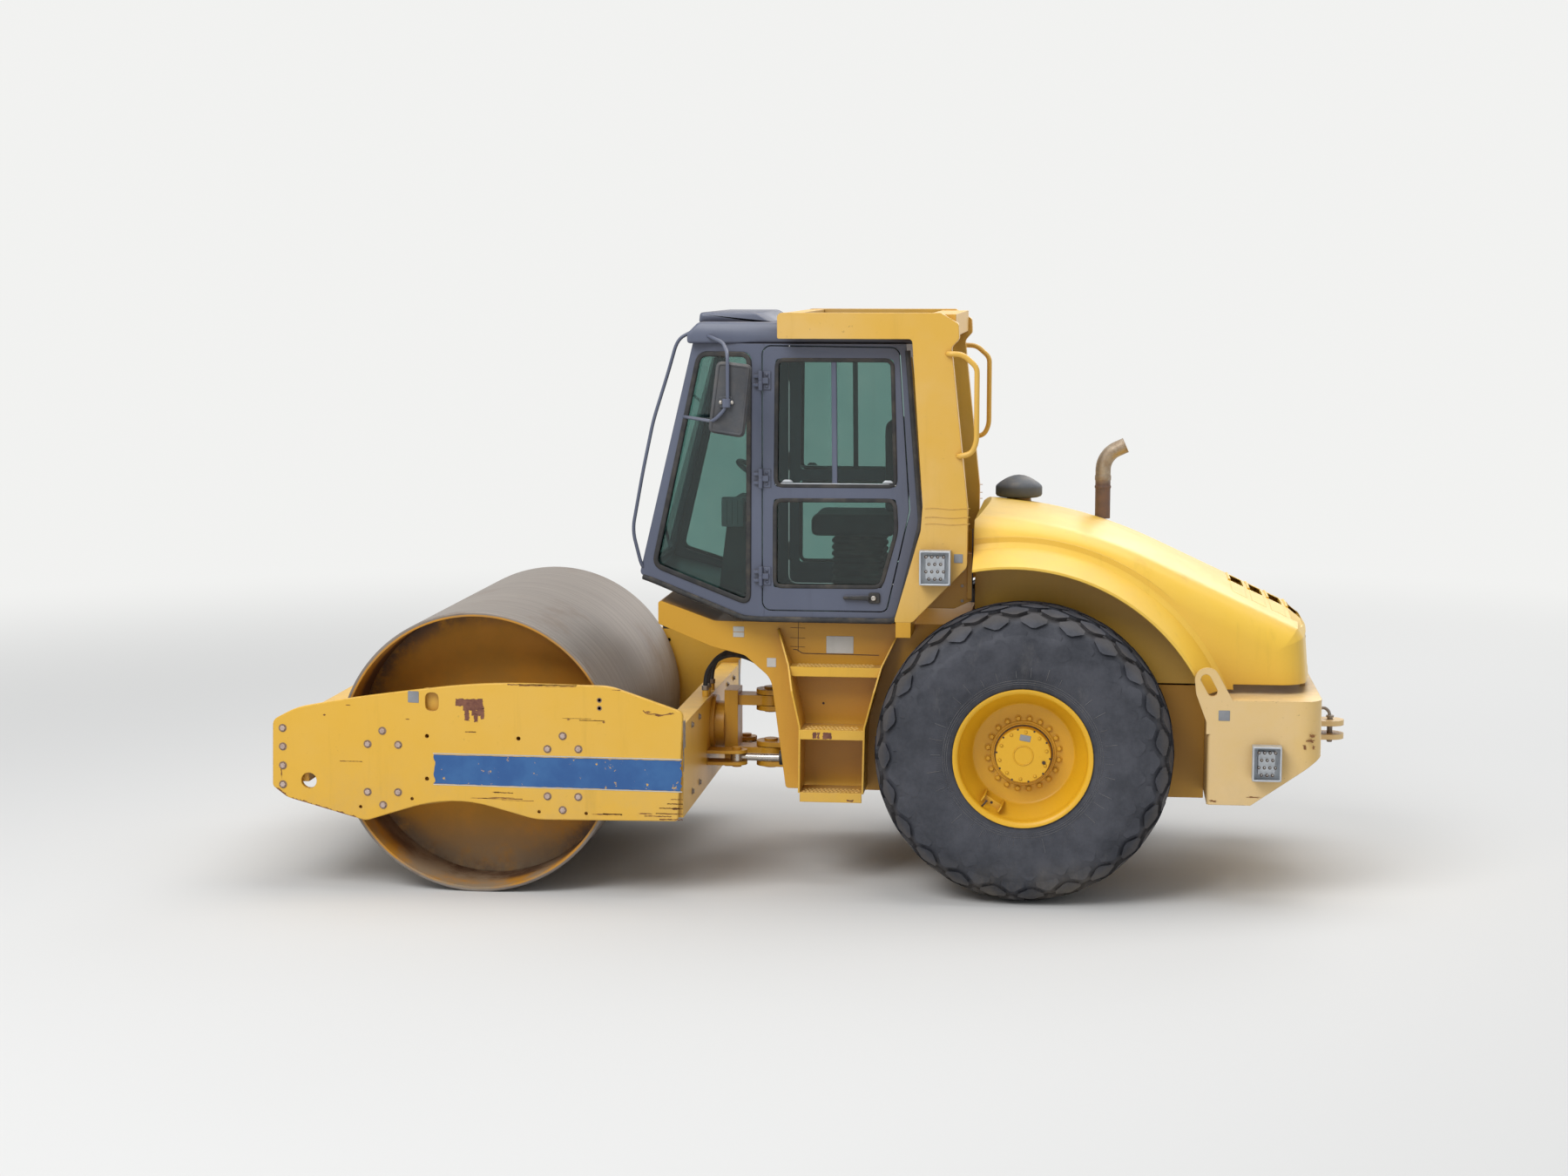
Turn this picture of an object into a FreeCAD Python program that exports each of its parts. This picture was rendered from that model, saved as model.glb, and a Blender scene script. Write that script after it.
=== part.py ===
import FreeCAD, Part
import math
import os

# Single drum road roller, articulated, with a closed cab.
# Millimetres. Front (the drum) towards -X, the machine's left side towards -Y, +Z up.
# The origin lies on the ground, half way along and across the machine.

os.makedirs("parts", exist_ok=True)

# Drum
DRUM_X = -1750
DRUM_R = 750
DRUM_WIDTH = 2100
DRUM_SHELL = 25
DRUM_RECESS = 370
DISC_THICK = 22
HUB_SHAFT_R = 90
HUB_SHAFT_LENGTH = 240
BEARING_R = 165

# Wheels
WHEELBASE = 2870
TYRE_R = 780
TYRE_WIDTH = 580
TYRE_BEAD_R = 345
TRACK = 1580
LUG_COUNT = 22
LUG_DEPTH = 26
RIM_WALL = 14
HUB_CAP_R = 142
HUB_FLANGE_R = 205
HUB_OUT = 175
AXLE_TUBE_R = 100
DIFFERENTIAL_R = 185
BRAKE_DRUM_R = 150

# Clearances
RUNNING_GAP = 0.3
SCRAPER_GAP = 12
TYRE_SIDE_GAP = 20
STEP_TYRE_GAP = 74
EAR_GAP = 3
SEAL_GAP = 1
DOOR_GAP = 6

# Drum frame
PLATE_THICK = 30
SIDE_PLATE_GAP = 50
BEAM_THICK = 25
BUFFER_R = 68
BUFFER_LENGTH = 110
CARRIER_THICK = 25

# Steering joint
PIVOT_BEHIND_DRUM = 685
PIVOT_PIN_R = 38
HINGE_Z = 745
EAR_R = 82
EAR_PLATE = 28
OSCILLATION_R = 130

# Rear frame
WALL_THICK = 20
WALL_BOTTOM = 484
WALL_TOP = 1395
BAY_TOP = 1090
TAIL_LENGTH = 584
TAIL_BOTTOM = 530
TAIL_TOP = 1078
TAIL_CORNER_R = 110
HITCH_REACH = 190
HITCH_Z = 790
HITCH_PLATE = 28
HITCH_GAP = 46
HITCH_BORE_R = 16
STEP_OUT = 240
STEP_PLATE = 10

# Cab
CAB_HALF_WIDTH = 620
CAB_FRONT_HALF_WIDTH = 444
CAB_HEIGHT = 1461
CAB_WALL = 45
CAB_FLOOR = 50
MOUNT_HEIGHT = 37
MOUNT_R = 45
GLASS_THICK = 6
GLASS_SEAT = 12
DOOR_THICK = 36
DOOR_PROUD = 3
HINGE_OUT = 16
HINGE_R = 11
KNUCKLE = 30

# Roll-over frame
CAB_TO_ROPS = 60
ROPS_THICK = 90
ROOF_HEIGHT = 165

# Hood
HOOD_SKIN = 16
HOOD_SHOULDER_R = 150
HOOD_OVER_WALL = 180
FLARE_OUT = 190
FLARE_LIP_R = 1103
FLARE_TOP_R = 1192
LOUVRE_COUNT = 4
LOUVRE_PITCH = 103
LOUVRE_LENGTH = 70
GRILLE_SLATS = 7
GRILLE_PITCH = 28
HOOD_HINGE_R = 13
HOOD_PIN_R = 9
HOOD_HINGE_WIDTH = 60
STACK_R = 43
STACK_WALL = 4
BOWL_R = 130

# Steering cylinders
CYL_TUBE_R = 40
CYL_TUBE_LENGTH = 440
CYL_ROD_R = 20
CYL_EYE_R = 36
CYL_EYE_WIDTH = 44
CYL_PIN_R = 15

# Hoses over the steering joint
HOSE_R = 13
GLAND_R = 18
GLAND_HEIGHT = 36

# Mirrors and rails
MIRROR_Y = 900
ARM_R = 9
RAIL_R = 14

# Places worked out from the sizes above
AXLE_X = DRUM_X + WHEELBASE
PIVOT_X = DRUM_X + DRUM_R + PIVOT_BEHIND_DRUM
BULKHEAD_X = PIVOT_X + 205
PLATE_INNER_Y = DRUM_WIDTH / 2 + SIDE_PLATE_GAP
PLATE_OUTER_Y = PLATE_INNER_Y + PLATE_THICK
DISC_OUT_Y = DRUM_WIDTH / 2 - DRUM_RECESS
WALL_Y = TRACK / 2 - TYRE_WIDTH / 2 - TYRE_SIDE_GAP
INNER_Y = WALL_Y - WALL_THICK
HOOD_HALF_WIDTH = WALL_Y + HOOD_OVER_WALL
FENDER_HALF_WIDTH = HOOD_HALF_WIDTH + FLARE_OUT
TAIL_HALF_WIDTH = FENDER_HALF_WIDTH + 30
CAB_BOTTOM = WALL_TOP + MOUNT_HEIGHT
CAB_TOP = CAB_BOTTOM + CAB_HEIGHT
ROPS_TOP = CAB_TOP + ROOF_HEIGHT
ROPS_OUTER_Y = CAB_HALF_WIDTH + CAB_TO_ROPS + ROPS_THICK

# The rear half, from the neck back, is drawn round an axle at this place and moved to the real one
DRAWN_AXLE_X = 1120
DRAWN_AXLE_Z = 780
REAR_SHIFT = AXLE_X - DRAWN_AXLE_X
REAR_RISE = TYRE_R - DRAWN_AXLE_Z
TYRE_FRONT_X = DRAWN_AXLE_X - TYRE_R
TAIL_FRONT_X = DRAWN_AXLE_X + TYRE_R + 166
TAIL_REAR_X = TAIL_FRONT_X + TAIL_LENGTH
HOOD_FRONT_X = 842
FIREWALL_X = 790

LEFT, RIGHT = -1, 1
SIDES = (("left", LEFT), ("right", RIGHT))
X_AXIS = FreeCAD.Vector(1, 0, 0)
Y_AXIS = FreeCAD.Vector(0, 1, 0)
Z_AXIS = FreeCAD.Vector(0, 0, 1)


def vec(x, y, z):
    return FreeCAD.Vector(x, y, z)


def box(x0, x1, y0, y1, z0, z1):
    return Part.makeBox(x1 - x0, y1 - y0, z1 - z0, vec(x0, y0, z0))


def rod_along_y(x, z, radius, y0, y1):
    return Part.makeCylinder(radius, y1 - y0, vec(x, y0, z), Y_AXIS)


def rod_along_z(x, y, radius, z0, z1):
    return Part.makeCylinder(radius, z1 - z0, vec(x, y, z0), Z_AXIS)


def rod_along_x(y, z, radius, x0, x1):
    return Part.makeCylinder(radius, x1 - x0, vec(x0, y, z), X_AXIS)


def side_pair(y_inner, y_outer, side):
    """The two Y limits, low first, of a band on one side of the machine."""
    return sorted((side * y_inner, side * y_outer))


def mirrored(shape):
    return shape.mirror(vec(0, 0, 0), Y_AXIS)


def on_side(shape_on_left, side):
    return shape_on_left if side == LEFT else mirrored(shape_on_left)


def fused(shapes):
    result = shapes[0]
    for shape in shapes[1:]:
        result = result.fuse(shape)
    return result.removeSplitter()


def outline(corners):
    """Edges of a closed outline in a flat (a, b) plane. A corner is (a, b) or (a, b, radius)."""
    flat = [vec(c[0], c[1], 0) for c in corners]
    radii = [c[2] if len(c) > 2 else 0 for c in corners]
    count = len(flat)
    arcs = []
    for i in range(count):
        here = flat[i]
        back = (flat[i - 1] - here).normalize()
        ahead = (flat[(i + 1) % count] - here).normalize()
        if radii[i] == 0:
            arcs.append((here, None, here))
            continue
        half = back.getAngle(ahead) / 2
        reach = radii[i] / math.tan(half)
        middle = (back + ahead).normalize()
        centre = here + middle * (radii[i] / math.sin(half))
        arcs.append((here + back * reach, centre - middle * radii[i], here + ahead * reach))
    edges = []
    for i in range(count):
        start, mid, end = arcs[i]
        following = arcs[(i + 1) % count][0]
        run = (flat[(i + 1) % count] - flat[i]).normalize()
        if (following - end).dot(run) < -0.001:
            print("corner radii too large for the run after", corners[i])
        if mid is not None:
            edges.append(Part.Arc(start, mid, end).toShape())
        if end.distanceToPoint(following) > 0.001:
            edges.append(Part.LineSegment(end, following).toShape())
    return edges


def flat_face(corners):
    return Part.Face(Part.Wire(outline(corners)))


def plate_xz(corners, y0, y1):
    """An outline of (x, z) corners, as a plate between two Y places."""
    face = flat_face(corners)
    face.rotate(vec(0, 0, 0), X_AXIS, 90)
    face.translate(vec(0, y0, 0))
    return face.extrude(vec(0, y1 - y0, 0))


def plate_xy(corners, z0, z1):
    face = flat_face(corners)
    face.translate(vec(0, 0, z0))
    return face.extrude(vec(0, 0, z1 - z0))


def plate_yz(corners, x0, x1):
    """An outline of (y, z) corners, as a plate between two X places."""
    face = flat_face(corners)
    face.rotate(vec(0, 0, 0), vec(1, 1, 1), 120)
    face.translate(vec(x0, 0, 0))
    return face.extrude(vec(x1 - x0, 0, 0))


def turned_about_y(profile, x, z):
    """A closed profile of (radius, y) corners, turned about an axis along Y through (x, z)."""
    face = flat_face(profile)
    solid = face.revolve(vec(0, 0, 0), Y_AXIS, 360)
    solid.translate(vec(x, 0, z))
    return solid


def bar_through(points, radius):
    """A round bar through the points, with a ball at each bend."""
    pieces = []
    for start, end in zip(points, points[1:]):
        run = end - start
        pieces.append(Part.makeCylinder(radius, run.Length, start, run))
    for bend in points[1:-1]:
        pieces.append(Part.makeSphere(radius, bend))
    return fused(pieces)


def save(name, shape, on_rear_half=False):
    """Write one node. The rear half's pieces are moved to the real axle."""
    if shape.ShapeType == "Compound" and len(shape.Solids) == 1:
        shape = shape.Solids[0]
    if not shape.isValid():
        print("not valid:", name)
    if on_rear_half and (REAR_SHIFT or REAR_RISE):
        shape = shape.translated(vec(REAR_SHIFT, 0, REAR_RISE))
    print(name, "solids", len(shape.Solids), "volume", round(shape.Volume / 1e6, 2), "litres")
    shape.exportStep("parts/" + name + ".step")


# Drum frame. Its places are measured from the drum's axis at (DRUM_X, DRUM_R).

# The side plate's outline: (x, z, corner radius)
PLATE_OUTLINE = (
    (-DRUM_R - 331, 169, 40),
    (-DRUM_R - 340, -187, 20),
    (-DRUM_R - 261, -247, 20),
    (-DRUM_R + 164, -363, 20),
    (-113, -257, 60),
    (75, -253, 60),
    (330, -326, 60),
    (DRUM_R + 335, -325, 25),
    (DRUM_R + 370, 251, 60),
    (DRUM_R - 19, 381, 80),
    (14, 395, 80),
    (-DRUM_R - 202, 237, 60),
)
# Buffer centres: (x, z)
BUFFER_PLACES = ((-485, 68), (-490, -229), (479, 67), (482, -232))
# Round holes in the side plate: (x, z, radius)
PLATE_HOLES = (
    (-891, -154, 42),
    (-247, 98, 11),
    (243, 95, 11),
    (-251, -130, 11),
    (240, -128, 11),
    (-333, -239, 9),
    (-613, -289, 9),
    (349, -292, 9),
    (600, -295, 9),
)
# The slot near the plate's top edge: x range, z range
PLATE_SLOT = (-250, -182, 235, 325)
FRONT_BEAM_X = (-DRUM_R - 300, -DRUM_R - 150)
FRONT_BEAM_Z = (-165, 130)
REAR_BEAM_X = (DRUM_R + 250, DRUM_R + 360)
REAR_BEAM_Z = (-310, 175)
BEAM_BACK = DRUM_X + REAR_BEAM_X[1]
BEAM_TOP = DRUM_R + REAR_BEAM_Z[1]
SCRAPER_Z = -130
SCRAPER_THICK = 14

# Routes of the hoses from the drum frame's glands to the rear frame's: (x, y, z)
HOSE_ROUTES = (
    (
        (-665, -150, 960),
        (-665, -150, 1030),
        (-637, -146, 1098),
        (-576, -140, 1148),
        (-494, -136, 1162),
        (-408, -134, 1138),
        (-326, -136, 1086),
        (-240, -140, 1045),
        (-150, -140, 1045),
    ),
    (
        (-665, -60, 960),
        (-665, -60, 1036),
        (-634, -57, 1108),
        (-570, -52, 1158),
        (-486, -48, 1168),
        (-402, -48, 1136),
        (-322, -52, 1080),
        (-238, -58, 1040),
        (-150, -58, 1040),
    ),
    (
        (-665, 90, 960),
        (-665, 90, 1029),
        (-637, 88, 1096),
        (-577, 84, 1145),
        (-496, 80, 1159),
        (-410, 80, 1133),
        (-328, 84, 1081),
        (-242, 88, 1040),
        (-150, 88, 1040),
    ),
)


def side_plate(side):
    """Flame cut plate beside the drum, with its bolt holes and slot."""
    y0, y1 = side_pair(PLATE_INNER_Y, PLATE_OUTER_Y, side)
    plate = plate_xz(PLATE_OUTLINE, y0, y1)
    for x, z, radius in PLATE_HOLES:
        plate = plate.cut(rod_along_y(x, z, radius, y0 - 1, y1 + 1))
    x0, x1, z0, z1 = PLATE_SLOT
    corner = 20
    slot = [(x0, z0, corner), (x1, z0, corner), (x1, z1, corner), (x0, z1, corner)]
    plate = plate.cut(plate_xz(slot, y0 - 1, y1 + 1))
    return plate.translated(vec(DRUM_X, 0, DRUM_R))


def hollow_beam(x_range, z_range):
    """A box beam between the two side plates, open at its ends against them."""
    x0, x1 = x_range
    z0, z1 = z_range
    outer = box(x0, x1, -PLATE_INNER_Y, PLATE_INNER_Y, z0, z1)
    t = BEAM_THICK
    inner = box(x0 + t, x1 - t, -PLATE_INNER_Y - 1, PLATE_INNER_Y + 1, z0 + t, z1 - t)
    return outer.cut(inner).translated(vec(DRUM_X, 0, DRUM_R))


def rear_beam():
    """The beam behind the drum, with the glands that the hoses come out of."""
    pieces = [hollow_beam(REAR_BEAM_X, REAR_BEAM_Z)]
    for route in HOSE_ROUTES:
        x, y, z = route[0]
        pieces.append(rod_along_z(x, y, GLAND_R, BEAM_TOP - 1, BEAM_TOP + GLAND_HEIGHT - 1))
    return fused(pieces)


def carrier(side):
    """Waisted cross plate on four buffers, with the bearing housing of the drum's hub."""
    plate_out = PLATE_INNER_Y - BUFFER_LENGTH
    y0, y1 = side_pair(plate_out - CARRIER_THICK, plate_out, side)
    pad = BUFFER_R + 14
    low = min(z for x, z in BUFFER_PLACES) - pad
    high = max(z for x, z in BUFFER_PLACES) + pad
    x0 = min(x for x, z in BUFFER_PLACES) - pad
    x1 = max(x for x, z in BUFFER_PLACES) + pad
    waist = 60
    corners = [
        (x0, low, pad / 2),
        (x0 + 2 * pad, low, pad / 2),
        (0, low + waist, 120),
        (x1 - 2 * pad, low, pad / 2),
        (x1, low, pad / 2),
        (x1, high, pad / 2),
        (x1 - 2 * pad, high, pad / 2),
        (0, BEARING_R + waist, 120),
        (x0 + 2 * pad, high, pad / 2),
        (x0, high, pad / 2),
    ]
    housing_in = DISC_OUT_Y + 30
    h0, h1 = side_pair(housing_in, plate_out + 20, side)
    housing = rod_along_y(0, 0, BEARING_R, h0, h1)
    b0, b1 = side_pair(housing_in - 1, DISC_OUT_Y + HUB_SHAFT_LENGTH + 2, side)
    bore = rod_along_y(0, 0, HUB_SHAFT_R + RUNNING_GAP, b0, b1)
    whole = fused([plate_xz(corners, y0, y1), housing]).cut(bore)
    return whole.translated(vec(DRUM_X, 0, DRUM_R))


def buffers():
    """Eight rubber buffers between the side plates and the carriers."""
    shapes = []
    for name, side in SIDES:
        y0, y1 = side_pair(PLATE_INNER_Y - BUFFER_LENGTH, PLATE_INNER_Y, side)
        for x, z in BUFFER_PLACES:
            shapes.append(rod_along_y(DRUM_X + x, DRUM_R + z, BUFFER_R, y0, y1))
    return Part.makeCompound(shapes)


def scrapers():
    """A blade on each beam that keeps the drum's face clean."""
    half = DRUM_WIDTH / 2 - 40
    face_x = math.sqrt((DRUM_R + SCRAPER_GAP) ** 2 - SCRAPER_Z ** 2)
    z0 = DRUM_R + SCRAPER_Z
    z1 = z0 + SCRAPER_THICK
    front = box(DRUM_X + FRONT_BEAM_X[1], DRUM_X - face_x, -half, half, z0, z1)
    rear = box(DRUM_X + face_x, DRUM_X + REAR_BEAM_X[0], -half, half, z0, z1)
    return Part.makeCompound([front, rear])


def drum_shell():
    half = DRUM_WIDTH / 2
    profile = [
        (DRUM_R - DRUM_SHELL, -half),
        (DRUM_R, -half, 8),
        (DRUM_R, half, 8),
        (DRUM_R - DRUM_SHELL, half),
    ]
    return turned_about_y(profile, DRUM_X, DRUM_R)


def drum_disc(side):
    """Recessed end disc with a stiffening ring and its hub shaft."""
    inner_r = DRUM_R - DRUM_SHELL
    out = DISC_OUT_Y
    ring_r = 260
    ring_out = out + 25
    profile = [
        (0, out - DISC_THICK),
        (inner_r, out - DISC_THICK),
        (inner_r, out),
        (ring_r, out),
        (ring_r - 30, ring_out),
        (HUB_SHAFT_R, ring_out),
        (HUB_SHAFT_R, out + HUB_SHAFT_LENGTH),
        (0, out + HUB_SHAFT_LENGTH),
    ]
    disc = turned_about_y(profile, DRUM_X, DRUM_R)
    return mirrored(disc) if side == LEFT else disc


# Steering joint and its cylinders, measured from the hinge's axis at PIVOT_X

# Levels of the two arms, from HINGE_Z: low, high
UPPER_ARM = (121, 177)
LOWER_ARM = (-193, -117)
ARM_LEVELS = tuple((HINGE_Z + low, HINGE_Z + high) for low, high in (UPPER_ARM, LOWER_ARM))
YOKE_COLUMN_X = (PIVOT_X - 250, PIVOT_X - 175)
YOKE_COLUMN_HALF = 95
ARM_HALF = 70
CYL_Z = HINGE_Z - 145
# The cylinder's two eyes, on the right side: (x, y)
CYL_REAR = (PIVOT_X + 515, 220)
CYL_FRONT = (PIVOT_X - 165, 210)
EYE_GAP = 1


def rod_ears(side):
    """Two ears on the rear beam that hold the rod's eye between them, with the pin's heads."""
    x, y = CYL_FRONT[0], side * CYL_FRONT[1]
    ear_half = 58
    ear_thick = 18
    head = 14
    head_r = 26
    pieces = []
    for level in (-1, 1):
        near = CYL_Z + level * (CYL_EYE_WIDTH / 2 + EYE_GAP)
        far = near + level * ear_thick
        z0, z1 = sorted((near, far))
        pieces.append(box(BEAM_BACK, x, y - ear_half, y + ear_half, z0, z1))
        pieces.append(rod_along_z(x, y, ear_half, z0, z1))
        cap0, cap1 = sorted((far, far + level * head))
        pieces.append(rod_along_z(x, y, head_r, cap0, cap1))
    return pieces


def pivot_yoke():
    """Oscillation bearing behind the rear beam, with the column and arms of the steering hinge."""
    x0, x1 = YOKE_COLUMN_X
    over = 30
    low, high = ARM_LEVELS[1][0] - over, ARM_LEVELS[0][1] + over
    column = box(x0, x1, -YOKE_COLUMN_HALF, YOKE_COLUMN_HALF, low, high)
    bearing = rod_along_x(0, HINGE_Z, OSCILLATION_R, BEAM_BACK, x0)
    collar = rod_along_x(0, HINGE_Z, OSCILLATION_R + 35, BEAM_BACK, BEAM_BACK + 22)
    pieces = [column, bearing, collar]
    for z0, z1 in ARM_LEVELS:
        pieces.append(box(x0, PIVOT_X, -ARM_HALF, ARM_HALF, z0, z1))
        pieces.append(rod_along_z(PIVOT_X, 0, EAR_R, z0, z1))
    for name, side in SIDES:
        pieces += rod_ears(side)
    yoke = fused(pieces)
    for z0, z1 in ARM_LEVELS:
        yoke = yoke.cut(rod_along_z(PIVOT_X, 0, PIVOT_PIN_R + RUNNING_GAP, z0 - 1, z1 + 1))
    return yoke


def barrel_ears(side):
    """Two ears behind the bulkhead that hold the barrel's eye, on a bracket from the side wall."""
    x, y = CYL_REAR[0], side * CYL_REAR[1]
    half = CYL_EYE_WIDTH / 2
    plate = 20
    far = half + EYE_GAP + plate
    ear_half = 45
    back0, back1 = x + 60, x + 130
    pieces = []
    for level in (-1, 1):
        z0, z1 = sorted((CYL_Z + level * (half + EYE_GAP), CYL_Z + level * far))
        pieces.append(box(x - 40, back1, y - ear_half, y + ear_half, z0, z1))
    y0, y1 = sorted((y - side * ear_half, side * INNER_Y))
    pieces.append(box(back0, back1, y0, y1, CYL_Z - far, CYL_Z + far))
    pieces.append(rod_along_z(x, y, CYL_PIN_R, CYL_Z - far - 9, CYL_Z + far + 9))
    return pieces


def pivot_ears():
    """Ears of the rear frame above and below each arm, with the two hinge pins."""
    pieces = []
    cheek = 40
    for z0, z1 in ARM_LEVELS:
        below = (z0 - EAR_GAP - EAR_PLATE, z0 - EAR_GAP)
        above = (z1 + EAR_GAP, z1 + EAR_GAP + EAR_PLATE)
        for low, high in (below, above):
            pieces.append(box(PIVOT_X, BULKHEAD_X, -EAR_R, EAR_R, low, high))
            pieces.append(rod_along_z(PIVOT_X, 0, EAR_R, low, high))
        pieces.append(rod_along_z(PIVOT_X, 0, PIVOT_PIN_R, below[0] - 12, above[1] + 12))
        pieces.append(box(BULKHEAD_X - cheek, BULKHEAD_X, -EAR_R, EAR_R, below[0], above[1]))
    for name, side in SIDES:
        pieces += barrel_ears(side)
    return fused(pieces)


def cylinder_line(side):
    """Rear eye, front eye, direction from rear to front, and the distance between the eyes."""
    rear = vec(CYL_REAR[0], side * CYL_REAR[1], CYL_Z)
    front = vec(CYL_FRONT[0], side * CYL_FRONT[1], CYL_Z)
    run = front - rear
    length = run.Length
    return rear, front, run.normalize(), length


def cylinder_barrel(side):
    rear, front, along, length = cylinder_line(side)
    half = CYL_EYE_WIDTH / 2
    tube_start = 50
    bore_start = tube_start + 25
    eye = rod_along_z(rear.x, rear.y, CYL_EYE_R, CYL_Z - half, CYL_Z + half)
    tube = Part.makeCylinder(CYL_TUBE_R, CYL_TUBE_LENGTH - tube_start, rear + along * tube_start, along)
    neck = Part.makeCylinder(half - 2, tube_start + 10, rear, along)
    bore_r = CYL_ROD_R + RUNNING_GAP
    bore = Part.makeCylinder(bore_r, CYL_TUBE_LENGTH, rear + along * bore_start, along)
    hole = rod_along_z(rear.x, rear.y, CYL_PIN_R + RUNNING_GAP, CYL_Z - 2 * half, CYL_Z + 2 * half)
    return fused([eye, tube, neck]).cut(bore).cut(hole)


def cylinder_rod(side):
    rear, front, along, length = cylinder_line(side)
    overlap = 200
    reach = length - CYL_TUBE_LENGTH + overlap
    rod = Part.makeCylinder(CYL_ROD_R, reach, front - along * reach, along)
    half = CYL_EYE_WIDTH / 2
    eye = rod_along_z(front.x, front.y, CYL_EYE_R, CYL_Z - half, CYL_Z + half)
    return fused([rod, eye])


# Hoses, as straight runs joined by tangent arcs

BEND_SHARE = 0.45


def hose(route):
    """A round hose along the route. Each bend's arc is as large as its two runs allow."""
    points = [vec(*p) for p in route]
    edges = []
    radii = []
    start = points[0]
    for before, here, after in zip(points, points[1:], points[2:]):
        back = before - here
        ahead = after - here
        half_turn = (math.pi - back.getAngle(ahead)) / 2
        reach = BEND_SHARE * min(back.Length, ahead.Length)
        radius = reach / math.tan(half_turn)
        radii.append(round(radius))
        back.normalize()
        ahead.normalize()
        middle = (back + ahead).normalize()
        centre = here + middle * (radius / math.cos(half_turn))
        arc_start = here + back * reach
        arc_end = here + ahead * reach
        edges.append(Part.LineSegment(start, arc_start).toShape())
        edges.append(Part.Arc(arc_start, centre - middle * radius, arc_end).toShape())
        start = arc_end
    edges.append(Part.LineSegment(start, points[-1]).toShape())
    path = Part.Wire(edges)
    ring = Part.Wire(Part.Circle(points[0], points[1] - points[0], HOSE_R).toShape())
    tube = path.makePipeShell([ring], True, True)
    section = math.pi * HOSE_R ** 2 * path.Length
    print("hose length", round(path.Length), "bend radii", radii, "fill", round(tube.Volume / section, 3))
    return tube


# Wheels and axle

def tyre(side):
    """Tyre with a crowned tread and a row of notches between the lugs of each shoulder."""
    half = TYRE_WIDTH / 2
    tread = half - 30
    bulge_r = TYRE_R * 0.74
    profile = [
        (TYRE_BEAD_R, -half + 48),
        (TYRE_BEAD_R + 50, -half + 28),
        (bulge_r, -half, 60),
        (TYRE_R - 95, -half + 6),
        (TYRE_R - 20, -tread),
        (TYRE_R, -tread + 120),
        (TYRE_R, tread - 120),
        (TYRE_R - 20, tread),
        (TYRE_R - 95, half - 6),
        (bulge_r, half, 60),
        (TYRE_BEAD_R + 50, half - 28),
        (TYRE_BEAD_R, half - 48),
    ]
    solid = turned_about_y(profile, 0, 0)
    notch_half = 26
    notches = []
    for i in range(LUG_COUNT):
        for level in (-1, 1):
            y0, y1 = sorted((level * (tread - 60), level * (half + 1)))
            notch = box(-notch_half, notch_half, y0, y1, TYRE_R - LUG_DEPTH, TYRE_R + 1)
            half_step = 0.5 if level == 1 else 0
            notch.rotate(vec(0, 0, 0), Y_AXIS, (i + half_step) * 360 / LUG_COUNT)
            notches.append(notch)
    solid = solid.cut(Part.makeCompound(notches))
    return solid.translated(vec(AXLE_X, side * TRACK / 2, TYRE_R))


def rim(side):
    """Welded rim with its disc, planetary hub and cap, drawn for the right side, out towards +Y."""
    half = TYRE_WIDTH / 2 - 48
    seat = TYRE_BEAD_R - RUNNING_GAP
    well = seat - RIM_WALL
    flange = seat + 18
    disc_y = 70
    profile = [
        (0, disc_y),
        (HUB_FLANGE_R + 20, disc_y),
        (well, disc_y - 60),
        (well, -half - 6),
        (flange, -half - 19),
        (flange, -half - 10),
        (seat, -half - 2),
        (seat, half + 2),
        (flange, half + 10),
        (flange, half + 19),
        (well, half + 6),
        (well, disc_y - 30),
        (well - 30, disc_y + 2),
        (HUB_FLANGE_R, disc_y + 20),
        (HUB_FLANGE_R, disc_y + 45),
        (HUB_CAP_R, disc_y + 45),
        (HUB_CAP_R - 6, HUB_OUT, 14),
        (50, HUB_OUT),
        (46, HUB_OUT + 14),
        (0, HUB_OUT + 14),
    ]
    solid = turned_about_y(profile, AXLE_X, TYRE_R)
    if side == LEFT:
        solid = mirrored(solid)
    return solid.translated(vec(0, side * TRACK / 2, 0))


def rear_axle():
    """Axle tube with the differential, out to the brake drums that meet the rims."""
    face = TRACK / 2 + 70 - RUNNING_GAP
    brake = 90
    profile = [
        (0, -face),
        (BRAKE_DRUM_R, -face),
        (BRAKE_DRUM_R, -face + brake),
        (AXLE_TUBE_R, -face + brake + 20),
        (AXLE_TUBE_R, -260),
        (DIFFERENTIAL_R, -150, 60),
        (DIFFERENTIAL_R, 150, 60),
        (AXLE_TUBE_R, 260),
        (AXLE_TUBE_R, face - brake - 20),
        (BRAKE_DRUM_R, face - brake),
        (BRAKE_DRUM_R, face),
        (0, face),
    ]
    return turned_about_y(profile, AXLE_X, TYRE_R)


# Rear frame. Its front end is measured from the steering hinge, the rest is drawn round the
# drawn axle. NECK_X brings the hinge into the drawn frame.

CHIN_X = -389
NECK_X = PIVOT_X - REAR_SHIFT
NECK_TOP_X = min(NECK_X, CHIN_X + 74)
HINGE_RISE = -REAR_RISE
DRAWN_BULKHEAD_X = NECK_X + 205
ENGINE_X = (960, 2000)
ENGINE_SIDE_GAP = 110
ENGINE_Z = (985, 1600)
CROSSBEAM_X = (440, 520)
CROSSBEAM_Z = (1360, 1442)
FLOOR_THICK = 12
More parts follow.
